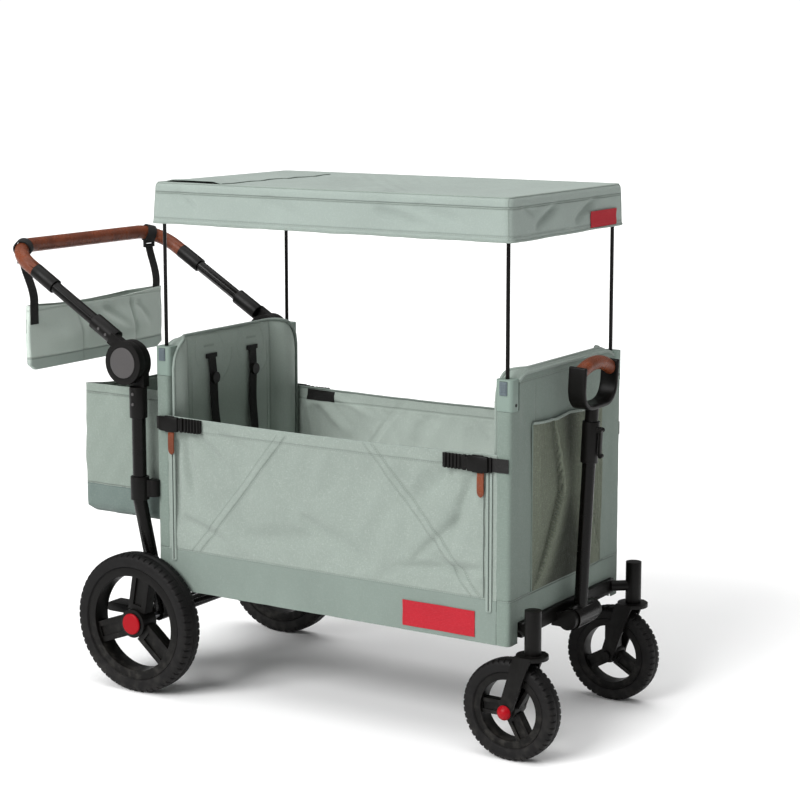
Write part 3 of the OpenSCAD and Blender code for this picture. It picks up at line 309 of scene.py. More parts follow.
def dress(node, material, slot, edge=0.0012, segments=2):
    """A rigid part: its CAD mesh with flat faces made whole and the sharp edges bevelled."""
    o = cad_copy(node, node + "_look")
    edit_mesh(o, lambda: bpy.ops.mesh.dissolve_limited(angle_limit=math.radians(0.2)))
    if edge:
        bevel(o, edge, segments)
    coat(o, material, 32)
    return hand_over(o, nodes[node]["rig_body"], slot, node)


def crumple(piece):
    """Gives a soft piece its own copy of its mesh."""
    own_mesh(piece)


def settle_cloth(o, cap, pressure=0.0, gravity=0.0, growth=0.0, held=(), frames=20, stiff=15.0):
    """Lets Blender's cloth settle a piece, and keeps each point within cap of where it started."""
    start = [v.co.copy() for v in o.data.vertices]
    modifier = o.modifiers.new("Cloth", "CLOTH")
    cloth = modifier.settings
    cloth.quality = 5
    cloth.mass = 0.15
    cloth.tension_stiffness = stiff
    cloth.compression_stiffness = stiff
    cloth.bending_stiffness = 0.3
    cloth.shrink_min = -growth
    cloth.use_pressure = pressure > 0
    cloth.uniform_pressure_force = pressure
    cloth.effector_weights.gravity = gravity
    if held:
        group = o.vertex_groups.new(name="held")
        group.add(list(held), 1.0, "REPLACE")
        cloth.vertex_group_mass = "held"
    modifier.point_cache.frame_end = frames
    for step in range(1, frames + 1):
        bpy.context.scene.frame_set(step)
    settled = o.evaluated_get(bpy.context.evaluated_depsgraph_get()).data.vertices
    moves = [after.co - before for after, before in zip(settled, start)]
    o.modifiers.remove(modifier)
    bpy.context.scene.frame_set(1)
    for v, before, move in zip(o.data.vertices, start, moves):
        v.co = before + move * (cap / (cap + move.length))
    return o


def smooth_step(t):
    t = min(1.0, max(0.0, t))
    return t * t * (3 - 2 * t)


def ripple(x, y, seed=0.0):
    """A quiet, even unrest between -1 and 1 for cloth that hangs free."""
    return (
        0.5 * math.sin(7.1 * x + 2.3 * y + seed)
        + 0.3 * math.sin(13.7 * x - 9.2 * y + 1.7 * seed)
        + 0.2 * math.sin(23.0 * x + 17.0 * y + 0.6 * seed)
    )


def fold_depth(x, z, folds):
    """Depth at a point of a set of folds, each (from x, from z, to x, to z, width, depth)."""
    total = 0.0
    for x0, z0, x1, z1, width, depth in folds:
        run = Vector((x1 - x0, z1 - z0))
        at = Vector((x - x0, z - z0))
        along = at.dot(run) / run.length_squared
        off = abs(at.x * run.y - at.y * run.x) / run.length
        ends = smooth_step((along + 0.12) / 0.24) * smooth_step((1.12 - along) / 0.5)
        total += depth * math.exp(-((off / width) ** 2)) * ends
    return total


def corner_curve(before, corner, after, radius, steps):
    """Points of the curve that cuts a corner, with as much taken off each of its two sides."""
    corner = Vector(corner)
    enter = corner + (Vector(before) - corner).normalized() * radius
    leave = corner + (Vector(after) - corner).normalized() * radius
    shares = [k / steps for k in range(steps + 1)]
    return [enter * (1 - t) ** 2 + corner * 2 * t * (1 - t) + leave * t ** 2 for t in shares]


def round_corners(points, radius, steps):
    """A line of points with each inner corner cut by a curve."""
    line = [Vector(points[0])]
    for before, corner, after in zip(points, points[1:], points[2:]):
        line += corner_curve(before, corner, after, radius, steps)
    return line + [Vector(points[-1])]


def closed_outline(corners, radius, count):
    """Points evenly spaced round a closed line of corners, each cut by a curve."""
    line = []
    for before, corner, after in zip(corners[-1:] + corners, corners, corners[1:] + corners[:1]):
        line += corner_curve(before, corner, after, radius, 8)
    line.append(line[0])
    lengths = [(b - a).length for a, b in zip(line, line[1:])]
    total = sum(lengths)
    points, done, part = [], 0.0, 0
    for k in range(count):
        goal = total * k / count
        while done + lengths[part] < goal:
            done += lengths[part]
            part += 1
        share = (goal - done) / max(lengths[part], 0.0000001)
        points.append(tuple(line[part].lerp(line[part + 1], share)))
    return points


def on_patch(low, size, share_along, share_across):
    """A place on a flat patch, from its low corner, its size and the shares of its two lengths."""
    return low[0] + size[0] * share_along, low[1] + size[1] * share_across


def rectangle(half_x, half_y):
    return [(half_x, -half_y), (half_x, half_y), (-half_x, half_y), (-half_x, -half_y)]


print("modelling tools ready")

# %% [markdown]
# ## Materials
# Shared effects are node groups that give colours, masks and heights: a weave with heather flecks,
# a line of stitching, a leather grain and the fine grain of moulded plastic. Each material then
# sets its own shader. Positions come from the object, so nothing depends on the camera.

# %% Node tools and groups


def srgb(red, green, blue):
    """A screen colour from 0 to 255 as the linear colour that a shader takes."""
    def linear(c):
        c /= 255
        return c / 12.92 if c <= 0.04045 else ((c + 0.055) / 1.055) ** 2.4

    return (linear(red), linear(green), linear(blue), 1.0)


def put(tree, socket, value):
    if isinstance(value, bpy.types.NodeSocket):
        tree.links.new(value, socket)
    else:
        socket.default_value = value


def add(tree, kind, sockets=None, **settings):
    """A shader node with its settings, and with its sockets set or linked."""
    node = tree.nodes.new("ShaderNode" + kind)
    for key, value in settings.items():
        setattr(node, key, value)
    for key, value in (sockets or {}).items():
        put(tree, node.inputs[key], value)
    return node


def calc(tree, operation, *values):
    node = add(tree, "Math", operation=operation)
    for socket, value in zip(node.inputs, values):
        put(tree, socket, value)
    return node.outputs[0]


def mixed(tree, factor, first, second, how="MIX"):
    """A colour mixed from two."""
    node = add(tree, "Mix", data_type="RGBA", blend_type=how)
    put(tree, node.inputs[0], factor)
    put(tree, node.inputs[6], first)
    put(tree, node.inputs[7], second)
    return node.outputs[2]


def ramp(tree, value, low, high, to_low=0.0, to_high=1.0):
    node = add(tree, "MapRange", {
        "Value": value, "From Min": low, "From Max": high, "To Min": to_low, "To Max": to_high,
    }, interpolation_type="SMOOTHSTEP")
    return node.outputs[0]


def noise(tree, where, scale, detail=2.0):
    return add(tree, "TexNoise", {"Vector": where, "Scale": scale, "Detail": detail}).outputs[0]


def stretched(tree, where, scale):
    return add(tree, "VectorMath", {0: where, 1: scale}, operation="MULTIPLY").outputs[0]


def object_place(tree):
    return add(tree, "TexCoord").outputs["Object"]


def new_group(name, inputs, outputs):
    """An empty node group with its sockets, each (kind, name) or (kind, name, value)."""
    tree = bpy.data.node_groups.new(name, "ShaderNodeTree")
    for kind, label, *value in inputs:
        socket = tree.interface.new_socket(label, in_out="INPUT", socket_type="NodeSocket" + kind)
        if value:
            socket.default_value = value[0]
    for kind, label in outputs:
        tree.interface.new_socket(label, in_out="OUTPUT", socket_type="NodeSocket" + kind)
    return tree, tree.nodes.new("NodeGroupInput").outputs, tree.nodes.new("NodeGroupOutput").inputs


def use(tree, group, **sockets):
    node = tree.nodes.new("ShaderNodeGroup")
    node.node_tree = group
    for key, value in sockets.items():
        put(tree, node.inputs[key], value)
    return node.outputs


def weave_group():
    """Heather cloth: flecks of lighter yarn along both thread directions, and the threads' relief."""
    tree, given, out = new_group(
        "cloth_weave",
        [("Color", "Colour"), ("Color", "Fleck"), ("Float", "Amount", 0.5), ("Float", "Thread", 0.0011)],
        [("Color", "Colour"), ("Float", "Height"), ("Float", "Roughness")],
    )
    where = object_place(tree)
    level = noise(tree, stretched(tree, where, (1.0, 1.0, 5.0)), 170.0, 3.0)
    plumb = noise(tree, stretched(tree, where, (5.0, 5.0, 1.0)), 150.0, 3.0)
    flecks = ramp(tree, calc(tree, "MAXIMUM", level, plumb), 0.52, 0.78)
    broad = noise(tree, where, 7.0, 3.0)
    shade = calc(tree, "MULTIPLY_ADD", broad, 0.22, 0.89)
    yarn = mixed(tree, calc(tree, "MULTIPLY", flecks, given["Amount"]), given["Colour"], given["Fleck"])
    grey = add(tree, "CombineColor", {"Red": shade, "Green": shade, "Blue": shade}).outputs[0]
    tree.links.new(mixed(tree, 1.0, yarn, grey, "MULTIPLY"), out["Colour"])
    parts = add(tree, "SeparateXYZ", {0: where})
    waves = []
    for axis in range(3):
        turns = calc(tree, "DIVIDE", parts.outputs[axis], given["Thread"])
        waves.append(calc(tree, "SINE", calc(tree, "MULTIPLY", turns, math.pi)))
    plain = calc(tree, "MULTIPLY", calc(tree, "ADD", waves[0], waves[1]), waves[2])
    relief = calc(tree, "MULTIPLY_ADD", plain, 0.3, calc(tree, "MULTIPLY", flecks, 0.5))
    tree.links.new(relief, out["Height"])
    tree.links.new(calc(tree, "MULTIPLY_ADD", flecks, -0.08, 0.92), out["Roughness"])
    return tree


def seam_group():
    """A straight seam: the groove that the stitches pull in, and the thread itself."""
    tree, given, out = new_group(
        "stitched_seam",
        [("Vector", "Start"), ("Vector", "Along"), ("Vector", "Across"), ("Float", "Length"),
         ("Float", "Width", 0.004), ("Float", "Pitch", 0.0045)],
        [("Float", "Groove"), ("Float", "Thread")],
    )
    away = add(tree, "VectorMath", {0: object_place(tree), 1: given["Start"]}, operation="SUBTRACT")
    at = away.outputs[0]
    run = add(tree, "VectorMath", {0: at, 1: given["Along"]}, operation="DOT_PRODUCT").outputs["Value"]
    side = add(tree, "VectorMath", {0: at, 1: given["Across"]}, operation="DOT_PRODUCT").outputs["Value"]
    off = calc(tree, "ABSOLUTE", side)
    inside = calc(tree, "MULTIPLY", calc(tree, "GREATER_THAN", run, 0.0),
                  calc(tree, "LESS_THAN", run, given["Length"]))
    groove = calc(tree, "MULTIPLY", ramp(tree, off, 0.0, given["Width"], 1.0, 0.0), inside)
    dash = calc(tree, "LESS_THAN", calc(tree, "FRACT", calc(tree, "DIVIDE", run, given["Pitch"])), 0.68)
    narrow = calc(tree, "LESS_THAN", off, calc(tree, "MULTIPLY", given["Width"], 0.22))
    tree.links.new(groove, out["Groove"])
    thread = calc(tree, "MULTIPLY", calc(tree, "MULTIPLY", narrow, dash), inside)
    tree.links.new(thread, out["Thread"])
    return tree


def leather_group():
    """Leather grain: small pebbles, darker creases and a slow change of tone."""
    tree, given, out = new_group(
        "leather_grain",
        [("Color", "Colour"), ("Color", "Dark")],
        [("Color", "Colour"), ("Float", "Height"), ("Float", "Roughness")],
    )
    where = object_place(tree)
    pebbles = add(tree, "TexVoronoi", {"Vector": where, "Scale": 620.0}, feature="DISTANCE_TO_EDGE")
    creases = ramp(tree, pebbles.outputs[0], 0.0, 0.16)
    tone = ramp(tree, noise(tree, where, 26.0, 4.0), 0.3, 0.7)
    colour = mixed(tree, calc(tree, "MULTIPLY", tone, 0.55), given["Colour"], given["Dark"])
    crease_mask = calc(tree, "MULTIPLY_ADD", creases, -0.35, 0.35)
    tree.links.new(mixed(tree, crease_mask, colour, given["Dark"]), out["Colour"])
    tree.links.new(creases, out["Height"])
    tree.links.new(calc(tree, "MULTIPLY_ADD", tone, 0.12, 0.24), out["Roughness"])
    return tree


def moulded_group():
    """Moulded plastic or paint: a fine grain, faint handling marks and some dust near the ground."""
    tree, given, out = new_group(
        "moulded_grain",
        [("Color", "Colour"), ("Float", "Gloss", 0.45), ("Float", "Grain", 1300.0), ("Float", "Dust", 0.15)],
        [("Color", "Colour"), ("Float", "Height"), ("Float", "Roughness")],
    )
    where = object_place(tree)
    fine = noise(tree, where, given["Grain"], 2.0)
    marks = ramp(tree, noise(tree, stretched(tree, where, (1.0, 1.0, 3.0)), 38.0, 5.0), 0.45, 0.8)
    z = add(tree, "SeparateXYZ", {0: where}).outputs[2]
    low = calc(tree, "MULTIPLY", ramp(tree, z, 0.0, 0.2, 1.0, 0.0), given["Dust"])
    dust = calc(tree, "MULTIPLY", low, ramp(tree, noise(tree, where, 55.0, 4.0), 0.4, 0.75))
    tree.links.new(mixed(tree, dust, given["Colour"], srgb(150, 146, 138)), out["Colour"])
    tree.links.new(fine, out["Height"])
    tree.links.new(calc(tree, "MULTIPLY_ADD", marks, 0.14, given["Gloss"]), out["Roughness"])
    return tree


WEAVE = weave_group()
SEAM = seam_group()
LEATHER = leather_group()
MOULDED = moulded_group()
print("node groups:", WEAVE.name, SEAM.name, LEATHER.name, MOULDED.name)

# %% Materials


def new_material(name):
    material = bpy.data.materials.new(name)
    material.use_nodes = True
    tree = material.node_tree
    return material, tree, tree.nodes["Principled BSDF"]


def bumped(tree, shader, height, depth):
    node = add(tree, "Bump", {"Height": height, "Strength": 0.7, "Distance": depth})
    tree.links.new(node.outputs[0], shader.inputs["Normal"])


def line_on(start, end, out):
    """A seam from start to end on a surface that faces out, as its group's sockets."""
    start, end = Vector(start), Vector(end)
    along = (end - start).normalized()
    return {
        "Start": start, "Along": along, "Across": along.cross(Vector(out)).normalized(),
        "Length": (end - start).length,
    }


SEAM_SHADOW = srgb(92, 104, 97)
SEAM_THREAD = srgb(176, 188, 179)


def cloth(name, colour, fleck, seams=(), low_band=None, amount=0.55, sheen=0.12):
    """Woven cloth with its seams. low_band is (height, colour) where a smoother cloth starts."""
    material, tree, shader = new_material(name)
    yarn = use(tree, WEAVE, Colour=colour, Fleck=fleck, Amount=amount)
    base, height = yarn["Colour"], yarn["Height"]
    if low_band:
        z = add(tree, "SeparateXYZ", {0: object_place(tree)}).outputs[2]
        below = calc(tree, "LESS_THAN", z, low_band[0])
        flat = use(tree, WEAVE, Colour=low_band[1], Fleck=fleck, Amount=0.12)
        base = mixed(tree, below, base, flat["Colour"])
    for seam in seams:
        line = use(tree, SEAM, **seam)
        shadow = calc(tree, "MULTIPLY", line["Groove"], 0.28)
        thread = calc(tree, "MULTIPLY", line["Thread"], 0.22)
        base = mixed(tree, shadow, base, SEAM_SHADOW, "MULTIPLY")
        base = mixed(tree, thread, base, SEAM_THREAD)
        height = calc(tree, "MULTIPLY_ADD", line["Groove"], -2.5, height)
    tree.links.new(base, shader.inputs["Base Color"])
    tree.links.new(yarn["Roughness"], shader.inputs["Roughness"])
    shader.inputs["Sheen Weight"].default_value = sheen
    shader.inputs["Sheen Roughness"].default_value = 0.5
    bumped(tree, shader, height, 0.0006)
    return material


def webbing(name, colour, fleck):
    """Dense ribbed tape."""
    material, tree, shader = new_material(name)
    yarn = use(tree, WEAVE, Colour=colour, Fleck=fleck, Amount=0.35, Thread=0.0016)
    tree.links.new(yarn["Colour"], shader.inputs["Base Color"])
    tree.links.new(yarn["Roughness"], shader.inputs["Roughness"])
    bumped(tree, shader, yarn["Height"], 0.0008)
    return material


def leather(name, colour, dark):
    material, tree, shader = new_material(name)
    hide = use(tree, LEATHER, Colour=colour, Dark=dark)
    tree.links.new(hide["Colour"], shader.inputs["Base Color"])
    tree.links.new(hide["Roughness"], shader.inputs["Roughness"])
    shader.inputs["Specular IOR Level"].default_value = 0.3
    bumped(tree, shader, hide["Height"], 0.0003)
    return material


def moulded(name, colour, gloss, grain=1300.0, metal=0.0, coat_weight=0.0, dust=0.08, shine=0.25):
    material, tree, shader = new_material(name)
    shader.inputs["Specular IOR Level"].default_value = shine
    skin = use(tree, MOULDED, Colour=colour, Gloss=gloss, Grain=grain, Dust=dust)
    tree.links.new(skin["Colour"], shader.inputs["Base Color"])
    tree.links.new(skin["Roughness"], shader.inputs["Roughness"])
    shader.inputs["Metallic"].default_value = metal
    shader.inputs["Coat Weight"].default_value = coat_weight
    bumped(tree, shader, skin["Height"], 0.00015)
    return material


NET_PITCH = 0.0036


def net(name, colour, painted_shade):
    """Mesh cloth: round holes in rows, cut out with the alpha. An attribute mixes in a dark colour as
    painted shade.
    """
    material, tree, shader = new_material(name)
    where = object_place(tree)
    parts = add(tree, "SeparateXYZ", {0: where})
    waves = [calc(tree, "SINE", calc(tree, "MULTIPLY", parts.outputs[axis], math.pi / NET_PITCH))
             for axis in (1, 2)]
    cell = calc(tree, "MULTIPLY", *waves)
    solid = ramp(tree, calc(tree, "ABSOLUTE", cell), 0.62, 0.8, 1.0, 0.0)
    yarn = use(tree, WEAVE, Colour=colour, Fleck=srgb(176, 180, 164), Amount=0.4)
    painted_shade_amount = add(tree, "Attribute", attribute_name="painted_shade_amount").outputs["Fac"]
    tree.links.new(mixed(tree, painted_shade_amount, yarn["Colour"], painted_shade), shader.inputs["Base Color"])
    tree.links.new(solid, shader.inputs["Alpha"])
    tree.links.new(yarn["Roughness"], shader.inputs["Roughness"])
    bumped(tree, shader, yarn["Height"], 0.0006)
    return material


SAGE = srgb(127, 137, 130)
SAGE_LIGHT = srgb(162, 172, 164)
SAGE_SMOOTH = srgb(111, 123, 116)
SAGE_PANEL = srgb(106, 119, 111)
SAGE_CANOPY = srgb(137, 148, 142)
SAGE_BAG = srgb(120, 131, 123)
# The organizer's upper colour is much lighter than the bag's cloth: painted light on its front.
POUCH_FRONT_PAINTED_LIGHT = srgb(188, 199, 191)
SAGE_BAND = srgb(94, 108, 103)
# The organizer's lower band is lightened in the same way: painted light on its front.
POUCH_LOW_PAINTED_LIGHT = srgb(158, 170, 163)
# The lining colours are much lighter than SAGE: painted light on the inner faces of the walls.
LINING_PAINTED_LIGHT = srgb(172, 183, 175)
LINING_FLECK_PAINTED_LIGHT = srgb(198, 208, 200)
# The seat colours are lighter than the wall's SAGE: painted light for the light that reaches into the tub.
SEAT_PAINTED_LIGHT = srgb(164, 175, 167)
SEAT_FLECK_PAINTED_LIGHT = srgb(190, 201, 193)

sage_piping = cloth("sage_piping", srgb(128, 139, 132), SAGE_LIGHT, amount=0.3)
mat_cloth = cloth("mat_cloth", srgb(104, 113, 107), srgb(136, 145, 138), amount=0.4)
black_webbing = webbing("black_webbing", srgb(14, 13, 12), srgb(40, 38, 36))
tan_leather = leather("tan_leather", srgb(122, 58, 28), srgb(68, 31, 14))
black_moulding = moulded("black_moulding", srgb(9, 8, 7), 0.4, shine=0.14)
black_coat = moulded("black_powder_coat", srgb(6, 5, 4), 0.2, grain=2200.0, shine=0.14)
grey_moulding = moulded("grey_moulding", srgb(68, 66, 66), 0.5)
key_grey = moulded("key_grey", srgb(88, 98, 103), 0.5)
sage_moulding = moulded("sage_moulding", srgb(116, 131, 123), 0.42)
red_gloss = moulded("red_gloss", srgb(142, 5, 18), 0.35, dust=0.03, shine=0.12)
tyre_rubber = moulded("tyre_rubber", srgb(14, 13, 13), 0.55, grain=700.0, dust=0.04, shine=0.16)
axle_steel = moulded("axle_steel", srgb(150, 150, 152), 0.3, metal=1.0)
red_tape = webbing("red_tape", srgb(158, 12, 30), srgb(180, 40, 56))
hook_tape = webbing("hook_tape", srgb(20, 20, 19), srgb(44, 44, 42))
zip_tape = webbing("zip_tape", srgb(62, 70, 65), srgb(96, 105, 99))
# The second colour of pocket_net is painted shade, mixed in by an attribute on each pocket.
pocket_net = net("pocket_net", srgb(104, 111, 96), srgb(34, 36, 30))
print(len(bpy.data.materials), "materials")

# %% [markdown]
# ## Places
# The soft pieces take their places from the boxes of the CAD nodes that they stand for.

# %% Places
wall_low, wall_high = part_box("side_wall_left")
rear_low, rear_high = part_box("rear_end_cover")
front_low, front_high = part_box("front_end_cover")
SIDE = wall_high.y
TUB_BOTTOM = wall_low.z
HEM = wall_high.z
REAR_POST = (rear_low.x + rear_high.x) / 2
FRONT_POST = (front_low.x + front_high.x) / 2
MIDDLE = (REAR_POST + FRONT_POST) / 2
SLEEVE = rear_high.x - rear_low.x
SOCKET_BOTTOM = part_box("rear_pole_sockets")[0].z
BAND_SEAM = 0.317
CLOTH_THICK = 0.0024
SIDES = ((-1, "right"), (1, "left"))
POLE_KEYS = ["pole_button_" + end + "_" + hand for end in ("rear", "front") for side, hand in SIDES]
print("posts at", round(REAR_POST, 3), "and", round(FRONT_POST, 3))

# %% [markdown]
# ## Side walls
# Each wall is one sheet of heather cloth between the posts. The formula gives the hem and the pulls that
# run down from the buckles, and the material gives the smooth band along the bottom. Then Blender's
# cloth lets the sheet settle: it is a little larger than its frame, so it wrinkles softly.

# %% Side walls
HEM_SEAM = HEM - 0.028
WALL_SEAMS = [
    line_on((wall_low.x, SIDE, HEM_SEAM), (wall_high.x, SIDE, HEM_SEAM), (0, 1, 0)),
    line_on((0.057, SIDE, 0.589), (-0.166, SIDE, BAND_SEAM), (0, 1, 0)),
    line_on((0.036, SIDE, 0.589), (-0.187, SIDE, BAND_SEAM), (0, 1, 0)),
    line_on((0.245, SIDE, 0.600), (0.500, SIDE, BAND_SEAM), (0, 1, 0)),
    line_on((0.266, SIDE, 0.600), (0.521, SIDE, BAND_SEAM), (0, 1, 0)),
    line_on((wall_low.x, SIDE, BAND_SEAM), (wall_high.x, SIDE, BAND_SEAM), (0, 1, 0)),
]
WALL_FOLDS = [
    (-0.210, 0.575, -0.178, 0.430, 0.013, 0.0110),
    (-0.190, 0.578, -0.085, 0.500, 0.013, 0.0070),
    (-0.226, 0.560, -0.222, 0.360, 0.007, 0.0060),
    (-0.150, 0.590, -0.020, 0.545, 0.009, 0.0040),
    (0.455, 0.570, 0.330, 0.470, 0.022, 0.0085),
    (0.500, 0.560, 0.440, 0.400, 0.014, 0.0080),
    (0.510, 0.372, 0.330, 0.356, 0.010, 0.0070),
    (0.500, 0.350, 0.400, 0.392, 0.009, 0.0050),
    (0.470, 0.470, 0.360, 0.372, 0.012, 0.0050),
    (-0.060, 0.365, 0.180, 0.392, 0.018, 0.0050),
    (0.100, 0.420, 0.290, 0.345, 0.014, 0.0045),
    (-0.205, 0.385, -0.100, 0.350, 0.010, 0.0040),
]
WALL_STRIPS = [(0.0465, 0.589, -0.1765, BAND_SEAM), (0.2555, 0.600, 0.5105, BAND_SEAM)]
STRIP_HALF = 0.0079
sage_wall = cloth("sage_wall", SAGE, SAGE_LIGHT, WALL_SEAMS, low_band=(BAND_SEAM, SAGE_SMOOTH), amount=0.45)
# The walls' inner faces get this lighter cloth as painted light, without the slanting seams.
sage_lining_painted_light = cloth("sage_lining_painted_light", LINING_PAINTED_LIGHT, LINING_FLECK_PAINTED_LIGHT, WALL_SEAMS[:1] + WALL_SEAMS[-1:], amount=0.45)
WALL_COLS, WALL_ROWS = 210, 96
END_LAP = 0.004


def strip_rise(x, z):
    """Height of the doubled cloth between the two stitch lines of each slanting seam."""
    most = 0.0
    for x0, z0, x1, z1 in WALL_STRIPS:
        run = Vector((x1 - x0, z1 - z0))
        off = abs((x - x0) * run.y - (z - z0) * run.x) / run.length
        most = max(most, smooth_step((STRIP_HALF + 0.002 - off) / 0.004))
    return 0.0011 * most


def wall_point(u, v, side):
    """A point of a wall: u runs from the rear to the front, v from the bottom edge to the hem."""
    x = wall_low.x - END_LAP + u * (wall_high.x - wall_low.x + 2 * END_LAP)
    z = TUB_BOTTOM + v * (HEM - TUB_BOTTOM)
    z -= 0.005 * math.sin(math.pi * u) * smooth_step((v - 0.7) / 0.3)
    free = min(1.0, 8 * u, 8 * (1 - u))
    upper = smooth_step((z - BAND_SEAM) / 0.004)
    height = min(1, max(0, (z - BAND_SEAM) / 0.3))
    hollow = 0.004 * math.sin(math.pi * u) * math.sin(math.pi * height)
    depth = 0.0012 * upper + free * hollow + upper * fold_depth(x, z, WALL_FOLDS)
    depth += 0.0014 * free * ripple(6 * x, 5 * z, side) - upper * strip_rise(x, z)
    hem = smooth_step((z - (HEM - 0.030)) / 0.003)
    return Vector((x, side * (SIDE - depth + 0.0008 * hem), z))


def side_wall(name, node, side):
    def place(i, j):
        return wall_point(i / WALL_COLS, j / WALL_ROWS, side)

    o = grid(name, WALL_COLS, WALL_ROWS, place)
    held = []
    for v in o.data.vertices:
        ends = v.co.x < wall_low.x + 0.004 or v.co.x > wall_high.x - 0.004
        if ends or v.co.z < BAND_SEAM + 0.004 or v.co.z > HEM - 0.034:
            held.append(v.index)
    settle_cloth(o, 0.0035, growth=0.012, held=held, frames=14, stiff=8.0)
    for v in o.data.vertices:
        v.co.y = side * min(side * v.co.y, SIDE + 0.0004)
    clean(thicken(o, CLOTH_THICK, 0))
    coat(o, sage_wall, 60)
    # Faces that look into the tub take the second, lighter cloth, which is painted light.
    o.data.materials.append(sage_lining_painted_light)
    for face in o.data.polygons:
        face.material_index = 1 if face.normal.y * side < 0 else 0
    hem_line = [wall_point(k / 60, 1, side) - Vector((0, side * 0.0012, 0)) for k in range(61)]
    hem = coat(tube(name + "_hem", hem_line, 0.0022), sage_piping)
    for piece in (o, hem):
        hand_over(piece, "rear_frame", "fabric_sage")
        crumple(piece)
    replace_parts(o, node)


for side, hand in SIDES:
    side_wall("wall_" + hand, "side_wall_" + hand, side)
print("side walls with hems")

# %% [markdown]
# ## End covers
# The cloth at each end wraps round one post, runs across the outside as a panel, and wraps round the
# other post. Seen from above, that is one line, so the cover is one sheet along it.

# %% End covers
seat_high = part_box("rear_seat_back")[1]
SEAT_HALF = seat_high.y
SEAT_TOP = seat_high.z
SEAT_CORNER = 0.060
PANEL_BOTTOM = TUB_BOTTOM + 0.042
PANEL_HALF = SIDE - SLEEVE - 0.0004
WING_START = 0.150
WING_END = SIDE - SLEEVE - 0.008
WING_STEP = 0.0271
PIPING_DROP = 0.008
SLEEVE_FACE = 0.23


def wing(y):
    """How far the side wings of a seat back stand forward at y."""
    return WING_STEP * smooth_step((abs(y) - WING_START) / (WING_END - WING_START))


def corner_drop(y):
    """How far the outline of a seat back has dropped at y, round its top corners."""
    over = max(0.0, abs(y) - (SEAT_HALF - SEAT_CORNER))
    return SEAT_CORNER - math.sqrt(max(0.0, SEAT_CORNER ** 2 - over ** 2))


def cover_line(post, out):
    """The cover seen from above: round one post, across the panel and round the other post."""
    outer, inner = post + out * SLEEVE / 2, post - out * SLEEVE / 2
    near, far = SIDE - SLEEVE + 0.0005, SIDE
    half = round_corners([
        (outer - out * 0.004, -near), (inner, -near), (inner, -far), (outer, -far), (outer, -near),
    ], 0.009, 5)
    half += [Vector((outer, -PANEL_HALF - 0.0002))]
    panel = [Vector((outer, PANEL_HALF * (k / 24 - 1))) for k in range(49)]
    other = [Vector((p.x, -p.y)) for p in reversed(half)]
    return half, panel, other


PANEL_FOLDS = [
    (-0.190, 0.690, -0.110, 0.560, 0.014, 0.0020),
    (0.190, 0.690, 0.110, 0.560, 0.014, 0.0020),
    (-0.170, 0.300, -0.060, 0.420, 0.016, 0.0018),
    (0.170, 0.300, 0.060, 0.420, 0.016, 0.0018),
]


def top_cap(name, post, out):
    """The soft top of an end: cloth from the panel's edge over to the edge of the seat back."""
    def place(i, j):
        y, t = PANEL_HALF * (i / 48 - 1), j / 8
        top = SEAT_TOP - corner_drop(y)
        panel_edge = Vector((post + out * (SLEEVE / 2 - 0.0012), y, top - PIPING_DROP))
        seat_edge = Vector((post - out * (wing(y) - 0.0035), y, top - 0.002))
        return panel_edge.lerp(seat_edge, t) + Vector((0, 0, 0.003 * math.sin(math.pi * t)))

    return cloth_piece(name, 96, 8, place, 0.0016, sage_piping, 60)


def end_cover(name, node, body, post, out):
    half, panel, other = cover_line(post, out)
    line = half + panel + other
    rows = 64
    first, last = len(half), len(half) + len(panel) - 1

    def place(i, j):
        x, y = line[i]
        v = j / rows
        if first <= i <= last:
            top = SEAT_TOP - PIPING_DROP - corner_drop(y)
            z = PANEL_BOTTOM + v * (top - PANEL_BOTTOM)
            free = min(1.0, 12 * (1 - abs(y) / PANEL_HALF))
            slack = 0.0012 * (1 + ripple(5 * y, 4 * z, out))
            return Vector((x - out * free * (fold_depth(y, z, PANEL_FOLDS) + slack), y, z))
        z = TUB_BOTTOM + v * (SOCKET_BOTTOM - 0.0004 - TUB_BOTTOM)
        unrest = 0.0006 * ripple(9 * z, y, out) if abs(y) > SLEEVE_FACE else 0.0
        return Vector((x, y + unrest, z))

    o = clean(thicken(grid(name, len(line) - 1, rows, place), CLOTH_THICK, 0))
    seams = [
        line_on((post + out * 0.016, -SIDE, BAND_SEAM), (post + out * 0.016, SIDE, BAND_SEAM), (out, 0, 0)),
        line_on((post - 0.03, SIDE, BAND_SEAM), (post + 0.03, SIDE, BAND_SEAM), (0, 1, 0)),
        line_on((post, -PANEL_HALF, SEAT_TOP - 0.022), (post, PANEL_HALF, SEAT_TOP - 0.022), (out, 0, 0)),
        line_on((post, -0.138, 0.66), (post, -0.138, 0.735), (out, 0, 0)),
    ]
    coat(o, cloth(name + "_cloth", SAGE_PANEL, SAGE_LIGHT, seams, amount=0.2), 60)
    top_line = [Vector((p.x - out * 0.0012, p.y, SEAT_TOP - PIPING_DROP - corner_drop(p.y))) for p in panel]
    piping = coat(tube(name + "_piping", top_line, 0.0032), sage_piping)
    cap = top_cap(name + "_cap", post, out)
    hand_over(cap, body, "fabric_sage")
    hand_over(piping, body, "fabric_sage")
    hand_over(o, body, "fabric_sage", node)
    around = sum((b - a).length for a, b in zip(line, line[1:]))


end_cover("rear_cover", "rear_end_cover", "rear_frame", REAR_POST, -1)
end_cover("front_cover", "front_end_cover", "front_frame", FRONT_POST, 1)
print("end covers with piping")

# %% [markdown]
# ## Seat backs
# Each pad starts as a copy of its crowned CAD form. It gets finer faces, and cloth pressure swells it
# between its seams. Cord piping runs round its edge, and harness webbing hangs from two slots.

# %% Seat backs
SEAT_FACE = 0.0075
HARNESS_Y = 0.075
HARNESS_WIDE = 0.025
QUILT_Z = 0.722
SLOT_Z = 0.735


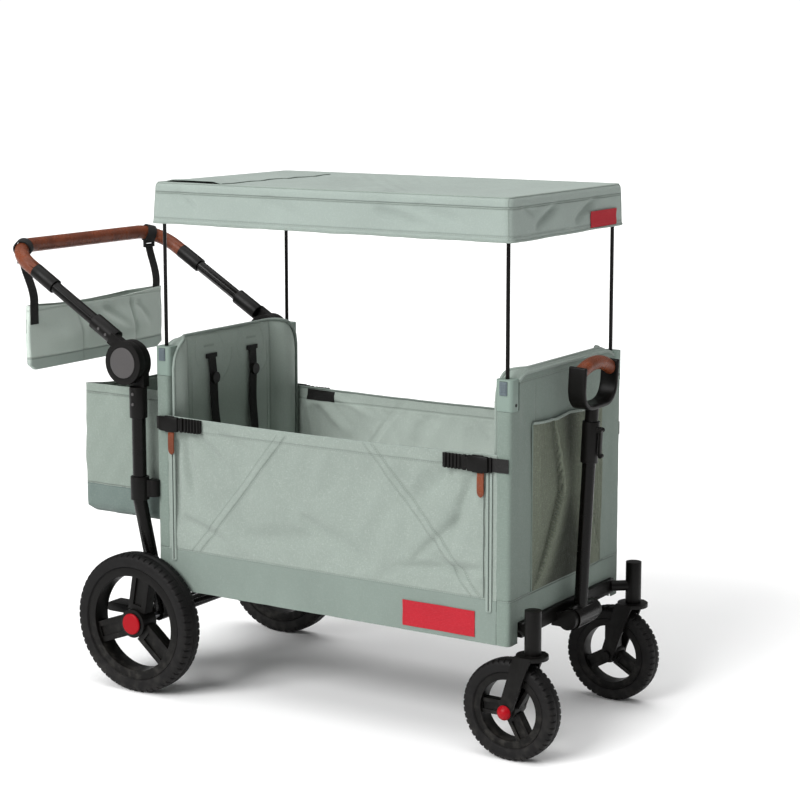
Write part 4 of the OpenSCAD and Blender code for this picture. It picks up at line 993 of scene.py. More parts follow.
def arc_point(y, z, radius, degrees):
    return y + radius * math.cos(math.radians(degrees)), z + radius * math.sin(math.radians(degrees))


def quilt_line(pad, points, post, toward):
    """A line of quilting on a pad's face. Its places are found by looking at the pad along X."""
    bpy.context.view_layer.update()
    line = []
    for y, z in points:
        found = pad.ray_cast((post + toward * 0.2, y, z), (-toward, 0, 0))
        if found[0]:
            line.append(found[1])
    return tube("quilt_line", line, 0.0012, roundness=1)


def seat_back(name, node, body, post, toward):
    low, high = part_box(node)
    o = cad_copy(node, name)
    edit_mesh(o, lambda: bpy.ops.mesh.tris_convert_to_quads(face_threshold=1.0, shape_threshold=1.0))
    soften(o, 1)
    held = [v.index for v in o.data.vertices if abs(abs(v.co.y) - WING_START) < 0.004]
    settle_cloth(o, 0.004, pressure=4.0, held=held, frames=16)
    soften(o, 1)
    seams = [line_on((post, side * WING_START, low.z), (post, side * WING_START, high.z), (toward, 0, 0))
             for side in (-1, 1)]
    seams += [line_on((post, side * 0.096, SLOT_Z), (post, side * 0.060, SLOT_Z), (toward, 0, 0))
              for side in (-1, 1)]
    # The seat's lighter colours are painted light.
    coat(o, cloth(name + "_cloth", SEAT_PAINTED_LIGHT, SEAT_FLECK_PAINTED_LIGHT, seams, amount=0.4), 70)
    quilting = []
    for side in (-1, 1):
        arcs = ((0.050, range(-35, 216, 10)), (0.078, range(-60, 1, 10)))
        lines = [[arc_point(side * HARNESS_Y, QUILT_Z, radius, angle) for angle in turn]
                 for radius, turn in arcs]
        lines.append([(side * 0.138, 0.30 + 0.02 * k) for k in range(22)])
        quilting += [quilt_line(o, line, post, toward) for line in lines]
    quilt_cloth = cloth(name + "_quilt", SEAT_PAINTED_LIGHT, SEAT_FLECK_PAINTED_LIGHT, amount=0.4)
    quilting = coat(joined(name + "_quilting", quilting), quilt_cloth)
    edge = []
    for k in range(-60, 61):
        y = SEAT_HALF * k / 60
        edge.append(Vector((post + toward * (wing(y) - 0.0055), y, SEAT_TOP - corner_drop(y) - 0.001)))
    down = [Vector((edge[-1].x, SEAT_HALF, low.z + (edge[-1].z - low.z) * k / 20)) for k in range(20)]
    up = [Vector((p.x, -p.y, p.z)) for p in down]
    piping = coat(tube(name + "_piping", up + edge + down[::-1], 0.0036), sage_piping)
    for piece in (o, piping, quilting):
        hand_over(piece, body, "fabric_dark")
        crumple(piece)
    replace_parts(o, node)


seat_back("seat_rear", "rear_seat_back", "rear_frame", REAR_POST, 1)
seat_back("seat_front", "front_seat_back", "front_frame", FRONT_POST, -1)


def harness(name, node, body, post, toward):
    low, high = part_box(node)
    face = post + toward * SEAT_FACE
    parts = []
    for side in (-1, 1):
        middle = side * HARNESS_Y
        line = []
        for k in range(46):
            t = k / 45
            bow = 0.004 * math.sin(5 * math.pi * t) * math.sin(math.pi * t)
            hang = 0.014 * smooth_step((t - 0.12) / 0.5) * (1 - t)
            x = face + toward * (0.001 + 0.5 * (bow + 0.004) * min(1, 10 * t) + hang)
            line.append((x, middle - side * (0.016 * t), high.z - t * (high.z - low.z)))
        parts.append(strap(name + "_tape", line, (0, 1, 0), HARNESS_WIDE, 0.0022))
        parts.append(block(name + "_slot", (face - 0.002, middle - 0.019, high.z - 0.004),
                           (face + 0.002, middle + 0.019, high.z + 0.006), 0.001))
    tapes = coat(joined(name, parts), black_webbing)
    hand_over(tapes, body, "webbing_black", node)
    knobs = []
    for side in (-1, 1):
        at = Vector((face + toward * 0.0095, side * 0.073, high.z - 0.047))
        knobs.append(adjuster(name + "_knob", at, toward))
    knob = coat(joined(name + "_adjusters", knobs), black_moulding)
    hand_over(knob, body, "plastic_black")
    for piece in (tapes, knob):
        crumple(piece)


def face_along_x(o, at, toward):
    """Turns a piece that faces along Y so that it faces along X, and moves it to its place."""
    only(o)
    bpy.ops.transform.rotate(value=-toward * math.pi / 2, orient_axis="Z", center_override=(0, 0, 0))
    bpy.ops.transform.translate(value=at)
    bpy.ops.object.transform_apply(location=True, rotation=True, scale=True)
    return o


def adjuster(name, at, toward):
    """A round strap adjuster: a dished disc with a raised rim."""
    profile = [
        (0.0005, 0.0035), (0.006, 0.0035), (0.0085, 0.002), (0.0105, 0.0035),
        (0.0125, 0.003), (0.013, 0.0), (0.0125, -0.003), (0.0005, -0.003),
    ]
    return face_along_x(turned(name, profile, (0, 0, 0), 40), at, toward)


harness("harness_rear", "rear_harness", "rear_frame", REAR_POST, 1)
harness("harness_front", "front_harness", "front_frame", FRONT_POST, -1)
print("seat backs with harness")

# %% [markdown]
# ## Corner buckles, zips and labels
# A webbing band crosses each corner seam and closes with a side-release buckle. Beside it a zip joins the
# wall to the post sleeve, with a leather pull. The labels are bare red tape.

# %% Buckles, zips and labels
BAND_OUT = 0.0034
CLIP_OUT = 0.0042
ZIP_FOOT = 0.294
ZIP_TAPE_OUT = 0.0027
ZIP_COIL_OUT = 0.0036
ZIP_WELT_OUT = 0.0031
ZIP_TACK_OUT = 0.0033
HOOK_LOW = (-0.209, HEM - 0.027)
HOOK_SIZE = (0.075, 0.024)
LABEL_LOW = (0.342, 0.238)
LABEL_SIZE = (0.166, 0.052)


def buckle(name, x, z, side, forward):
    """A side-release buckle on a wall: a ribbed ladder, a neck and a body with a catch on each side."""
    def solid(part, x0, x1, half, y0, y1, edge=0.0012):
        ends = sorted((x + forward * x0, x + forward * x1))
        faces = sorted((side * y0, side * y1))
        return block(name + part, (ends[0], faces[0], z - half), (ends[1], faces[1], z + half), edge)

    face = SIDE + CLIP_OUT
    parts = [
        solid("_ladder", 0.000, 0.046, 0.0145, face, face + 0.0035),
        solid("_shoulder", 0.046, 0.053, 0.0155, face, face + 0.006),
        solid("_body", 0.057, 0.104, 0.0160, face, face + 0.009, 0.003),
        solid("_window", 0.068, 0.092, 0.0175, face + 0.002, face + 0.007),
        solid("_prong", 0.052, 0.058, 0.0120, face + 0.001, face + 0.0065),
        solid("_tail", 0.104, 0.110, 0.0150, face, face + 0.005),
    ]
    ribs = [(0.004 + 0.008 * k, 0.009 + 0.008 * k) for k in range(5)]
    return parts + [solid("_rib", start, end, 0.0150, face, face + 0.0062) for start, end in ribs]


def buckle_set(name, node, body, forward):
    low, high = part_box(node)
    z = (low.z + high.z) / 2
    edge_x = low.x if forward > 0 else high.x
    bands, clips = [], []
    for side in (-1, 1):
        line = []
        for k in range(13):
            wave = 0.0004 * math.sin(k)
            line.append((low.x + (high.x - low.x) * k / 12, side * (SIDE + BAND_OUT + wave), z))
        bands.append(strap(name + "_band", line, (0, 0, 1), 0.027, 0.002))
        clips += buckle(name, edge_x, z, side, forward)
    tapes = coat(joined(name + "_tape", bands), black_webbing)
    hand_over(tapes, body, "webbing_black", node)
    hard = coat(joined(name + "_clips", clips), black_moulding)
    hand_over(hard, body, "plastic_black")


buckle_set("buckle_rear", "rear_side_buckles", "rear_frame", -1)
buckle_set("buckle_front", "front_side_buckles", "front_frame", 1)


def zip_line(name, x, pull_x, side, top, body):
    """A closed zip: its tape and coil, a welt beside it, a bar tack and a leather pull below the buckle."""
    def upright(at, out, bottom, count):
        y, tall = side * (SIDE + out), top - bottom
        return [Vector((at, y, bottom + k * tall / count)) for k in range(count + 1)]

    tape = strap(name + "_tape", upright(x, ZIP_TAPE_OUT, ZIP_FOOT, 20), (1, 0, 0), 0.013, 0.0012)
    coil = tube(name + "_coil", [
        at + Vector((0.0006 * math.cos(2.4 * k), side * 0.0004 * math.sin(2.4 * k), 0))
        for k, at in enumerate(upright(x, ZIP_COIL_OUT, ZIP_FOOT, 180))
    ], 0.0011, roundness=1)
    welt = tube(name + "_welt", upright(pull_x + 0.004, ZIP_WELT_OUT, BAND_SEAM + 0.004, 20), 0.0014)
    tack_y = side * (SIDE + ZIP_TACK_OUT)
    tack = block(name + "_tack", (x - 0.005, tack_y - 0.001, ZIP_FOOT - 0.002),
                 (x + 0.005, tack_y + 0.001, ZIP_FOOT + 0.002), 0.0006)
    pull = leather_pull(name + "_pull", pull_x, side, top - 0.008)
    for piece in (tape, welt, tack):
        coat(piece, sage_piping)
    coat(coil, zip_tape)
    for piece, slot in ((tape, "fabric_sage"), (coil, "webbing_black"), (pull, "leather_tan"),
                        (welt, "fabric_sage"), (tack, "fabric_sage")):
        hand_over(piece, body, slot)


def leather_pull(name, x, side, z):
    """A leather tongue with a round end that hangs from the zip's slider."""
    def place(i, j):
        t = j / 16
        short = max(0.0, 1 - t / 0.22)
        half = 0.0075 * math.sqrt(max(0.02, 1 - short ** 2))
        bend = 0.0015 * math.sin(math.pi * t)
        return Vector((x + half * (i / 4 - 1), side * (SIDE + 0.0062 + bend), z - 0.042 + 0.050 * t))

    o = clean(thicken(grid(name, 8, 16, place), 0.0026, 0))
    bevel(o, 0.0007, 2, 50)
    return coat(o, tan_leather)


FRONT_ZIP = wall_high.x - 0.012
FRONT_PULL = wall_high.x - 0.029
REAR_ZIP = wall_low.x + 0.010
for side, hand in SIDES:
    zip_line("zip_front_" + hand, FRONT_ZIP, FRONT_PULL, side, HEM - 0.034, "front_frame")
    zip_line("zip_rear_" + hand, REAR_ZIP, REAR_ZIP, side, HEM - 0.030, "rear_frame")


def hook_patch(i, j):
    """A patch of hook tape on the inside of the far wall's hem."""
    x, z = on_patch(HOOK_LOW, HOOK_SIZE, i / 12, j / 4)
    u = (x - wall_low.x) / (wall_high.x - wall_low.x)
    v = (z - TUB_BOTTOM) / (HEM - TUB_BOTTOM)
    return wall_point(u, v, 1) - Vector((0, CLOTH_THICK, 0))


patch = cloth_piece("hook_patch", 12, 4, hook_patch, 0.0012, hook_tape)
hand_over(patch, "rear_frame", "webbing_black")
crumple(patch)


def label(name, place, cols, rows, body):
    """A bare tape label."""
    return hand_over(cloth_piece(name, cols, rows, place, 0.0012, red_tape), body, "plastic_red")


def side_label(i, j):
    x, z = on_patch(LABEL_LOW, LABEL_SIZE, i / 24, j / 8)
    wave = 0.0006 * math.sin(9 * i / 24) + 0.0005 * math.sin(j)
    return Vector((x, -(SIDE + 0.0022 + wave), z))


tag = label("side_label", side_label, 24, 8, "rear_frame")
crumple(tag)
print("buckles, zips and labels")

# %% [markdown]
# ## Canopy
# The canopy is one continuous sheet: a valance that hangs from a rounded edge, and a top that dips between
# the hoops. Rings of points climb the valance, turn over the edge and shrink towards the middle.
# A cord under the cloth makes the ridge round the top, and a folded hem closes the valance.

# %% Canopy
canopy_low, canopy_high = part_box("canopy_cover")
CANOPY_L = (canopy_high.x - canopy_low.x) / 2
CANOPY_W = (canopy_high.y - canopy_low.y) / 2
CANOPY_R = 0.017
CANOPY_SAG = 0.006
CANOPY_AROUND = 480
EDGE = 0.009
HEM_Z = canopy_low.z
TOP_Z = canopy_high.z
FLAP_LOW = (0.018 - CANOPY_L, 0.016 - CANOPY_W)
FLAP_SIZE = (0.15, 0.40)
CANOPY_LABEL_LOW = (0.086, HEM_Z + 0.003)
CANOPY_LABEL_SIZE = (0.115, 0.033)


def canopy_rings():
    """Rings from the hem to the middle, each (inset, height above the hem or None, share of the crest)."""
    rings = [(0.0, k / 12 * (TOP_Z - HEM_Z - EDGE), 1.0) for k in range(13)]
    rings += [(EDGE * (1 - math.cos(a)), TOP_Z - HEM_Z - EDGE + EDGE * math.sin(a), 1.0)
              for a in (math.radians(30), math.radians(60))]
    rings += [(EDGE, None, 1 - k / 22) for k in range(22)]
    return rings


CANOPY_RINGS = canopy_rings()
VALANCE_FOLDS = [
    (0.288, 0.020, 0.394, 0.066, 0.009, 0.0100),
    (0.450, 0.018, 0.560, 0.066, 0.009, 0.0100),
    (0.235, 0.066, 0.300, 0.040, 0.009, 0.0070),
    (-0.110, 0.050, 0.020, 0.018, 0.009, 0.0085),
    (-0.020, 0.062, 0.090, 0.030, 0.010, 0.0070),
    (-0.380, 0.060, -0.280, 0.020, 0.012, 0.0050),
    (-0.610, 0.066, -0.550, 0.018, 0.010, 0.0070),
]
CANOPY_LINES = {}


def canopy_top(x, y, lift=0.0):
    """A point of the top, which dips a little between the hoops and swells behind the middle."""
    u, v = x / CANOPY_L, y / CANOPY_W
    free = smooth_step((0.92 - abs(u)) / 0.5) * (1 - v * v)
    swell = 0.010 * math.exp(-(((u + 0.35) / 0.22) ** 2)) * (1 - v * v)
    z = TOP_Z - CANOPY_SAG * free + swell + 0.0034 * free * ripple(6 * x, 7 * y, 1.0)
    return Vector((MIDDLE + x, y, z + lift))


def canopy_point(i, j):
    inset, height, share = CANOPY_RINGS[min(j, len(CANOPY_RINGS) - 1)]
    if inset not in CANOPY_LINES:
        corners = rectangle(CANOPY_L - inset, CANOPY_W - inset)
        CANOPY_LINES[inset] = closed_outline(corners, CANOPY_R - inset, CANOPY_AROUND)
    px, py = CANOPY_LINES[inset][i % CANOPY_AROUND]
    if j == len(CANOPY_RINGS):
        px, py, share = 0.0, 0.0, 0.0
    x, y = px * share, py * share
    if height is None:
        return canopy_top(x, y)
    sway = 1 - height / (TOP_Z - HEM_Z - EDGE + 0.00001)
    sway = max(0.0, min(1.0, sway))
    drape = math.sin(math.pi * min(1.0, max(0.0, height / (TOP_Z - HEM_Z))))
    pull = 0.0016 * sway * ripple(5 * (px + py), 4 * height + 3 * px, 2.0) + 0.0034 * sway
    pull -= drape * fold_depth(px + py, height, VALANCE_FOLDS)
    scale_x, scale_y = 1 + pull / CANOPY_L, 1 + pull / CANOPY_W
    flutter = 0.0008 * sway * ripple(4 * px, 4 * py, 0.4)
    return Vector((MIDDLE + px * scale_x, py * scale_y, HEM_Z + height + flutter))


RIDGE_SEAM = TOP_Z - 0.021
canopy_seams = [
    line_on((MIDDLE + share * CANOPY_L, -0.235, TOP_Z), (MIDDLE + share * CANOPY_L, -0.15, TOP_Z), (0, 0, 1))
    for share in (0.28, 0.25)
]
canopy_seams += [
    line_on((MIDDLE - 0.5, CANOPY_W, RIDGE_SEAM), (MIDDLE + 0.5, CANOPY_W, RIDGE_SEAM), (0, 1, 0)),
    line_on((MIDDLE, -0.3, RIDGE_SEAM), (MIDDLE, 0.3, RIDGE_SEAM), (1, 0, 0)),
    line_on((MIDDLE - 0.5, CANOPY_W, HEM_Z + 0.009), (MIDDLE + 0.5, CANOPY_W, HEM_Z + 0.009), (0, 1, 0)),
]


def canopy_ring(row):
    """A closed line of points round the canopy, on one of its rings."""
    return [canopy_point(i, row) for i in range(CANOPY_AROUND)]


def at_corner(point):
    """Whether a point of the hem lies at a corner of the canopy."""
    return abs(abs(point.x - MIDDLE) - CANOPY_L) < 0.012 and abs(abs(point.y) - CANOPY_W) < 0.012


canopy = clean(grid("canopy", CANOPY_AROUND, len(CANOPY_RINGS), canopy_point))
thicken(canopy, 0.002, -1)
coat(canopy, cloth("canopy_cloth", SAGE_CANOPY, SAGE_LIGHT, canopy_seams, amount=0.3), 70)
hand_over(canopy, "canopy_rear", "fabric_sage", "canopy_cover")
ridges = []
for row, thick in ((10, 0.0011), (14, 0.0017)):
    ridges.append(tube("canopy_cord", canopy_ring(row), thick, closed=True))
corner_points = [i for i, point in enumerate(canopy_ring(0)) if at_corner(point)]
for i in corner_points[1::3]:
    ridges.append(tube("corner_seam", [canopy_point(i, row) for row in range(15)], 0.0009))
canopy_ridge = coat(joined("canopy_ridge", ridges), sage_piping)


def flap_point(i, j):
    """A flap on the rear of the top, whose long edge stands a little open."""
    u, v = i / 24, j / 12
    open_edge = 0.0042 * (1 - v) ** 4 * smooth_step(6 * u) * smooth_step(6 * (1 - u))
    x, y = on_patch(FLAP_LOW, FLAP_SIZE, u, v)
    return canopy_top(x, y, 0.0012 + open_edge)


flap_cloth = cloth("flap_cloth", SAGE_CANOPY, SAGE_LIGHT, amount=0.3)
flap = cloth_piece("canopy_flap", 24, 12, flap_point, 0.0015, flap_cloth, 70)
hand_over(flap, "canopy_rear", "fabric_sage")
canopy_hem = coat(tube("canopy_hem", canopy_ring(0), 0.0021, closed=True), sage_piping)


def canopy_label(i, j):
    y, z = on_patch(CANOPY_LABEL_LOW, CANOPY_LABEL_SIZE, i / 20, j / 8)
    return Vector((MIDDLE + CANOPY_L + 0.0042 + 0.0006 * math.sin(j), y, z))


canopy_tag = label("canopy_label", canopy_label, 20, 8, "canopy_rear")
for piece in (canopy_ridge, canopy_hem):
    hand_over(piece, "canopy_rear", "fabric_sage")
for piece in (canopy, canopy_ridge, canopy_hem, canopy_tag, flap):
    crumple(piece)
print("canopy with ridge, hem and label")

# %% [markdown]
# ## Storage bag and organizer
# Both are lofted shells. Rings of one rounded outline go from the middle of the bottom up the outside,
# over the hem and down the inside. The belly swells, and the free edge sags between its corners.

# %% Storage bag and organizer


def lofted_bag(name, node, corners, radius, belly, dip, flat_side, folds=(), around=200):
    """A cloth bag over a node's outline. flat_side is the X side that lies against something, or 0."""
    low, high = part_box(node)
    centre = (low + high) / 2
    half_x, half_y = (high.x - low.x) / 2, (high.y - low.y) / 2
    tall = high.z - low.z
    rings = [(0.02, 0.0), (0.35, 0.0), (0.7, 0.0), (0.93, 0.0), (1.0, 0.012)]
    rings += [(1.0, 0.012 + (tall - 0.012) * k / 26) for k in range(1, 27)]
    inside = [(1.0, tall - (tall - 0.03) * k / 10) for k in range(11)]
    inside += [(0.93, 0.018), (0.6, 0.016), (0.02, 0.016)]
    outer = closed_outline(corners, radius, around)
    lining = [(x * (1 - 0.003 / half_x), y * (1 - 0.003 / half_y)) for x, y in outer]
    rows = len(rings) + len(inside)

    def place(i, j):
        skin = j < len(rings)
        share, height = rings[j] if skin else inside[j - len(rings)]
        px, py = (outer if skin else lining)[i % around]
        v = height / tall
        along = 1 - (py / half_y) ** 2
        swell = belly * math.sin(math.pi * min(1.0, v * 1.15)) ** 2 * along if share > 0.9 else 0.0
        slack = -0.3 * belly * v ** 6 * along
        wrinkle = 0.0026 * ripple(3.1 * py + 2 * px, 3.7 * height + 1.3 * py, belly * 900) * min(1, 4 * v)
        wrinkle -= fold_depth(py, height, folds) if px > 0 else 0.0
        out_x = (1 if px > 0 else -1) * (swell + slack + wrinkle) * min(1.0, abs(px) / (half_x * 0.8))
        if flat_side and px * flat_side > 0:
            out_x = -flat_side * abs(wrinkle) * 0.5
        x = centre.x + px * share + out_x
        ends = abs(py) / half_y > 0.97 and share > 0.9
        puff = 0.004 * math.sin(math.pi * v) + 0.0018 * ripple(9 * px, 8 * height, 3.0)
        y = centre.y + py * share + (math.copysign(1, py) * puff if ends else 0.0)
        z = low.z + height - dip * along * v ** 3
        return Vector((x, y, z))

    return clean(grid(name, around, rows - 1, place))


def finish_bag(o, name, node, body, band, colours, seams):
    """Sews a bag: its cloth, a smoother one below the band, its body and the sheet that it was cut from."""
    low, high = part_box(node)
    seams = seams + [
        line_on((low.x - 0.05, high.y, band), (high.x + 0.05, high.y, band), (0, 1, 0)),
        line_on((low.x, low.y - 0.05, band), (low.x, high.y + 0.05, band), (1, 0, 0)),
    ]
    upper, lower = colours
    coat(o, cloth(name + "_cloth", upper, SAGE_LIGHT, seams, low_band=(band, lower), amount=0.3), 70)
    hand_over(o, body, "fabric_sage", node)


bag_low, bag_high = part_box("storage_bag")
bag_corners = rectangle((bag_high.x - bag_low.x) / 2, (bag_high.y - bag_low.y) / 2)
BAG_BAND = 0.430
BAG_SEAM = bag_high.z - 0.020
bag_seams = [
    line_on((bag_low.x, -0.4, BAG_SEAM), (bag_low.x, 0.4, BAG_SEAM), (1, 0, 0)),
    line_on((bag_low.x - 0.1, 0, BAG_SEAM), (bag_high.x + 0.1, 0, BAG_SEAM), (0, 1, 0)),
]
bag = lofted_bag("storage", "storage_bag", bag_corners, radius=0.014, belly=0.010, dip=0.016, flat_side=1)
finish_bag(bag, "storage", "storage_bag", "rear_frame", BAG_BAND, (SAGE_BAG, SAGE_BAND),
           bag_seams)


def pouch_corners(half_x, half_y, end=0.012, taper=0.070):
    """The organizer from above: flat at the front, drawn in to thin ends at the back."""
    right = [(half_x, half_y), (half_x - end, half_y), (-half_x, half_y - taper)]
    return [(half_x, -half_y)] + right + [(-half_x, taper - half_y), (half_x - end, -half_y)]


pouch_low, pouch_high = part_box("organizer_pouch")
pouch_line = pouch_corners((pouch_high.x - pouch_low.x) / 2, (pouch_high.y - pouch_low.y) / 2)
POUCH_FOLDS = [
    (-0.066, 0.130, -0.054, 0.020, 0.007, 0.0060),
    (0.118, 0.130, 0.132, 0.020, 0.007, 0.0060),
    (-0.050, 0.125, 0.060, 0.050, 0.012, 0.0060),
    (0.020, 0.120, 0.110, 0.060, 0.010, 0.0050),
    (0.140, 0.120, 0.190, 0.060, 0.009, 0.0050),
    (-0.200, 0.110, -0.110, 0.075, 0.012, 0.0035),
]
pouch = lofted_bag("organizer", "organizer_pouch", pouch_line, radius=0.005, belly=0.012, dip=0.012,
                   flat_side=0, folds=POUCH_FOLDS, around=320)
POUCH_BAND = pouch_low.z + 0.027
POUCH_SEAM = pouch_high.z - 0.012
pouch_seams = [
    line_on((pouch_low.x, y - 0.012, pouch_high.z - 0.018), (pouch_low.x, y + 0.004, pouch_low.z), (1, 0, 0))
    for y in (-0.058, 0.128)
]
pouch_seams.append(line_on((pouch_low.x, -0.3, POUCH_SEAM), (pouch_low.x, 0.3, POUCH_SEAM), (1, 0, 0)))
finish_bag(pouch, "organizer", "organizer_pouch", "organizer", POUCH_BAND, (POUCH_FRONT_PAINTED_LIGHT, POUCH_LOW_PAINTED_LIGHT),
           pouch_seams)


def line_back(o, middle, material):
    """Gives the outer faces at the back of a bag the cloth of the storage bag."""
    o.data.materials.append(material)
    for face in o.data.polygons:
        outer = (face.center - middle).dot(face.normal) > 0
        face.material_index = 1 if outer and face.normal.x < -0.3 else 0


# The organizer's front keeps its lighter colours, which are painted light, and its back takes the bag's
# cloth.
line_back(pouch, (pouch_low + pouch_high) / 2,
          cloth("organizer_back", SAGE_BAG, SAGE_LIGHT, low_band=(POUCH_BAND, SAGE_BAND), amount=0.3))
print("storage bag and organizer")

# %% [markdown]
# ## Organizer straps and loops
# Webbing goes round the grip, closes in a tri-glide, and runs down to the organizer. One strap is sewn
# on its front and the other inside it.

# %% Organizer straps and loops
straps_low, straps_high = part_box("organizer_straps")
STRAP_HALF = 0.0125
LOOP_Y = straps_high.y - STRAP_HALF
RING_Z = straps_high.z - 0.0045
STRAP_X = straps_high.x - 0.001


def organizer_strap(side):
    y = side * LOOP_Y
    loop_x = straps_low.x + 0.0045
    sewn_x, sewn_to = (STRAP_X + 0.0004, 0.042) if side < 0 else (STRAP_X - 0.0075, 0.032)
    line = []
    for k in range(12):
        t = k / 11
        x = loop_x + (sewn_x - loop_x) * smooth_step(t) + 0.004 * math.sin(math.pi * t)
        line.append((x, y, RING_Z - t * (RING_Z - pouch_high.z - 0.002)))
    line += [(sewn_x, y, pouch_high.z - sewn_to * k / 5) for k in range(1, 6)]
    tape = strap("organizer_tape", line, (0, 1, 0), 2 * STRAP_HALF, 0.002)
    ends = [(loop_x, y - STRAP_HALF, RING_Z), (loop_x, y + STRAP_HALF, RING_Z)]
    eye = tube("organizer_eye", ends, 0.0042)
    return [tape, eye]


straps = coat(joined("organizer_webbing", organizer_strap(-1) + organizer_strap(1)), black_webbing)
hand_over(straps, "organizer", "webbing_black", "organizer_straps")
dress("organizer_loops", black_webbing, "webbing_black", 0.0008)
print("organizer webbing")

# %% [markdown]
# ## Mesh pockets
# Two net pockets hang on the front panel and meet at its middle. Each is a sheet that stands away from the
# panel beside a raised pleat, with a piped edge at its top. The net's colour carries painted shade beside
# the pleat and towards the middle.

# %% Mesh pockets
pocket_low, pocket_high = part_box("mesh_pockets")
POCKET_X = pocket_low.x + 0.0012
POCKET_HALF = 0.150
POCKET_TALL = pocket_high.z - pocket_low.z
PLEAT_WAIST = 0.55


def pleat_at(v):
    """Where the pleat lies across a pocket at height v: 0 is the middle of the panel, 1 the outer edge."""
    above = smooth_step((v - PLEAT_WAIST) / (1 - PLEAT_WAIST))
    below = max(0.0, PLEAT_WAIST - v) / PLEAT_WAIST
    return 0.30 + 0.16 * above + 0.66 * below ** 1.1


def pocket(name, side):
    def at(u, v):
        past = u - pleat_at(v)
        inner = math.exp(3.5 * min(0.0, past)) * smooth_step(0.5 - past / 0.04)
        outer = 0.55 * (1 - math.exp(-5 * max(0.0, past)))
        belly = 0.018 * (inner + outer) * (0.3 + 0.7 * math.sin(math.pi * v) ** 0.8)
        belly += 0.0012 * (1 + ripple(12 * u, 8 * v, 1.0))
        rim = min(1.0, 9 * (1 - u), 12 * v)
        sag = 0.004 * math.sin(math.pi * u) * v ** 8
        z = pocket_low.z + v * POCKET_TALL - sag
        return Vector((POCKET_X + belly * rim, side * POCKET_HALF * u, z))

    # Painted shade on the net: darkest just outside the pleat, and darker towards the middle of the panel.
    def painted_shade_amount(u, v):
        past = u - pleat_at(v)
        if past > 0:
            return 0.5 * math.exp(-past / 0.12)
        return 0.8 * smooth_step((-past - 0.10) / 0.42)

    o = cloth_piece(name, 80, 60, lambda i, j: at(i / 80, j / 60), 0.0009, pocket_net, 70)
    painted_shade = o.data.attributes.new("painted_shade_amount", "FLOAT", "POINT")
    for v in o.data.vertices:
        height = (v.co.z - pocket_low.z) / POCKET_TALL
        painted_shade.data[v.index].value = painted_shade_amount(side * v.co.y / POCKET_HALF, height)
    forward = Vector((0.0008, 0, 0))
    trim = coat(tube(name + "_hem", [at(k / 80, 1) + forward for k in range(81)], 0.0026), sage_piping)
    binding = tube(name + "_binding", [at(1, k / 40) - forward for k in range(41)], 0.0019)
    coat(binding, cloth(name + "_binding_cloth", SAGE_PANEL, SAGE_LIGHT, amount=0.2))
    for piece in (o, trim, binding):
        hand_over(piece, "front_frame", "fabric_sage")
    return o


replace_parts(pocket("pocket_right", -1), "mesh_pockets")
pocket("pocket_left", 1)
print("mesh pockets")

# %% [markdown]
# ## Floor
# Two stiff boards carry quilted mats, and a webbing strap across the knee pulls the floor up to fold
# the wagon.

# %% Floor
HINGE_ROOM = 0.044


def floor_mat(name, node, body):
    low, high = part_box(node)
    cols, rows = 60, 60
    board = block(name + "_board", low, (high.x, high.y, low.z + 0.005), 0.001)
    if body == "floor_rear":
        low = low + Vector((HINGE_ROOM, 0, 0))
    else:
        high = high - Vector((HINGE_ROOM, 0, 0))
    base = low.z + 0.0052

    def place(i, j):
        u, v = i / cols, j / rows
        round_x, round_y = 1 - abs(2 * u - 1) ** 14, 1 - abs(2 * v - 1) ** 14
        quilt = abs(math.sin(5 * math.pi * u)) ** 0.3
        top = base + 0.006 + (high.z - base - 0.006) * (round_x * round_y) ** 0.6 * (0.86 + 0.14 * quilt)
        return Vector((low.x + u * (high.x - low.x), low.y + v * (high.y - low.y), top))

    o = grid(name, cols, rows, place)
    edit_mesh(o, lambda: bpy.ops.mesh.extrude_region_move(TRANSFORM_OT_translate={"value": (0, 0, -0.001)}))
    for v in o.data.vertices:
        if v.select:
            v.co.z = base
    clean(o, 0.000001)
    held = [v.index for v in o.data.vertices if v.co.z < base + 0.0005]
    settle_cloth(o, 0.0015, pressure=2.0, held=held, frames=8)
    coat(o, mat_cloth, 60)
    hand_over(coat(board, black_moulding), body, "plastic_black")
    hand_over(o, body, "fabric_dark", node)


floor_mat("mat_rear", "floor_mat_rear", "floor_rear")
floor_mat("mat_front", "floor_mat_front", "floor_front")
strap_low, strap_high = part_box("fold_strap")
strap_line = []
for k in range(25):
    rise = 0.0014 + 0.010 * math.sin(math.pi * k / 24) ** 2
    strap_y = strap_low.y + (strap_high.y - strap_low.y) * k / 24
    strap_line.append(((strap_low.x + strap_high.x) / 2, strap_y, strap_low.z + rise))
pull_up = coat(strap("fold_webbing", strap_line, (1, 0, 0), 0.030, 0.0026), black_webbing)
hand_over(pull_up, "floor_rear", "webbing_black", "fold_strap")
print("floor mats and strap")

# %% [markdown]
# ## Bottom of the tub
# Strips of cloth close the tub between the mats and its walls. They stay clear of the floor's hinges.

# %% Bottom of the tub
mat_low, mat_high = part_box("floor_mat_rear")
HINGE_CLEAR = 0.172


def bottom_strip(name, body, start, end, across):
    """A strip of cloth from start to end that reaches across to the side and sags between its edges."""
    start, end, across = Vector(start), Vector(end), Vector(across)

    def place(i, j):
        u, v = i / 80, j / 6
        sag = 0.0015 * math.sin(math.pi * v) * (1 + 0.6 * ripple(9 * u, v))
        return start.lerp(end, u) + across * v - Vector((0, 0, sag))

    o = cloth_piece(name, 80, 6, place, 0.0014, mat_cloth, 60)
    hand_over(o, body, "fabric_dark")
    return o


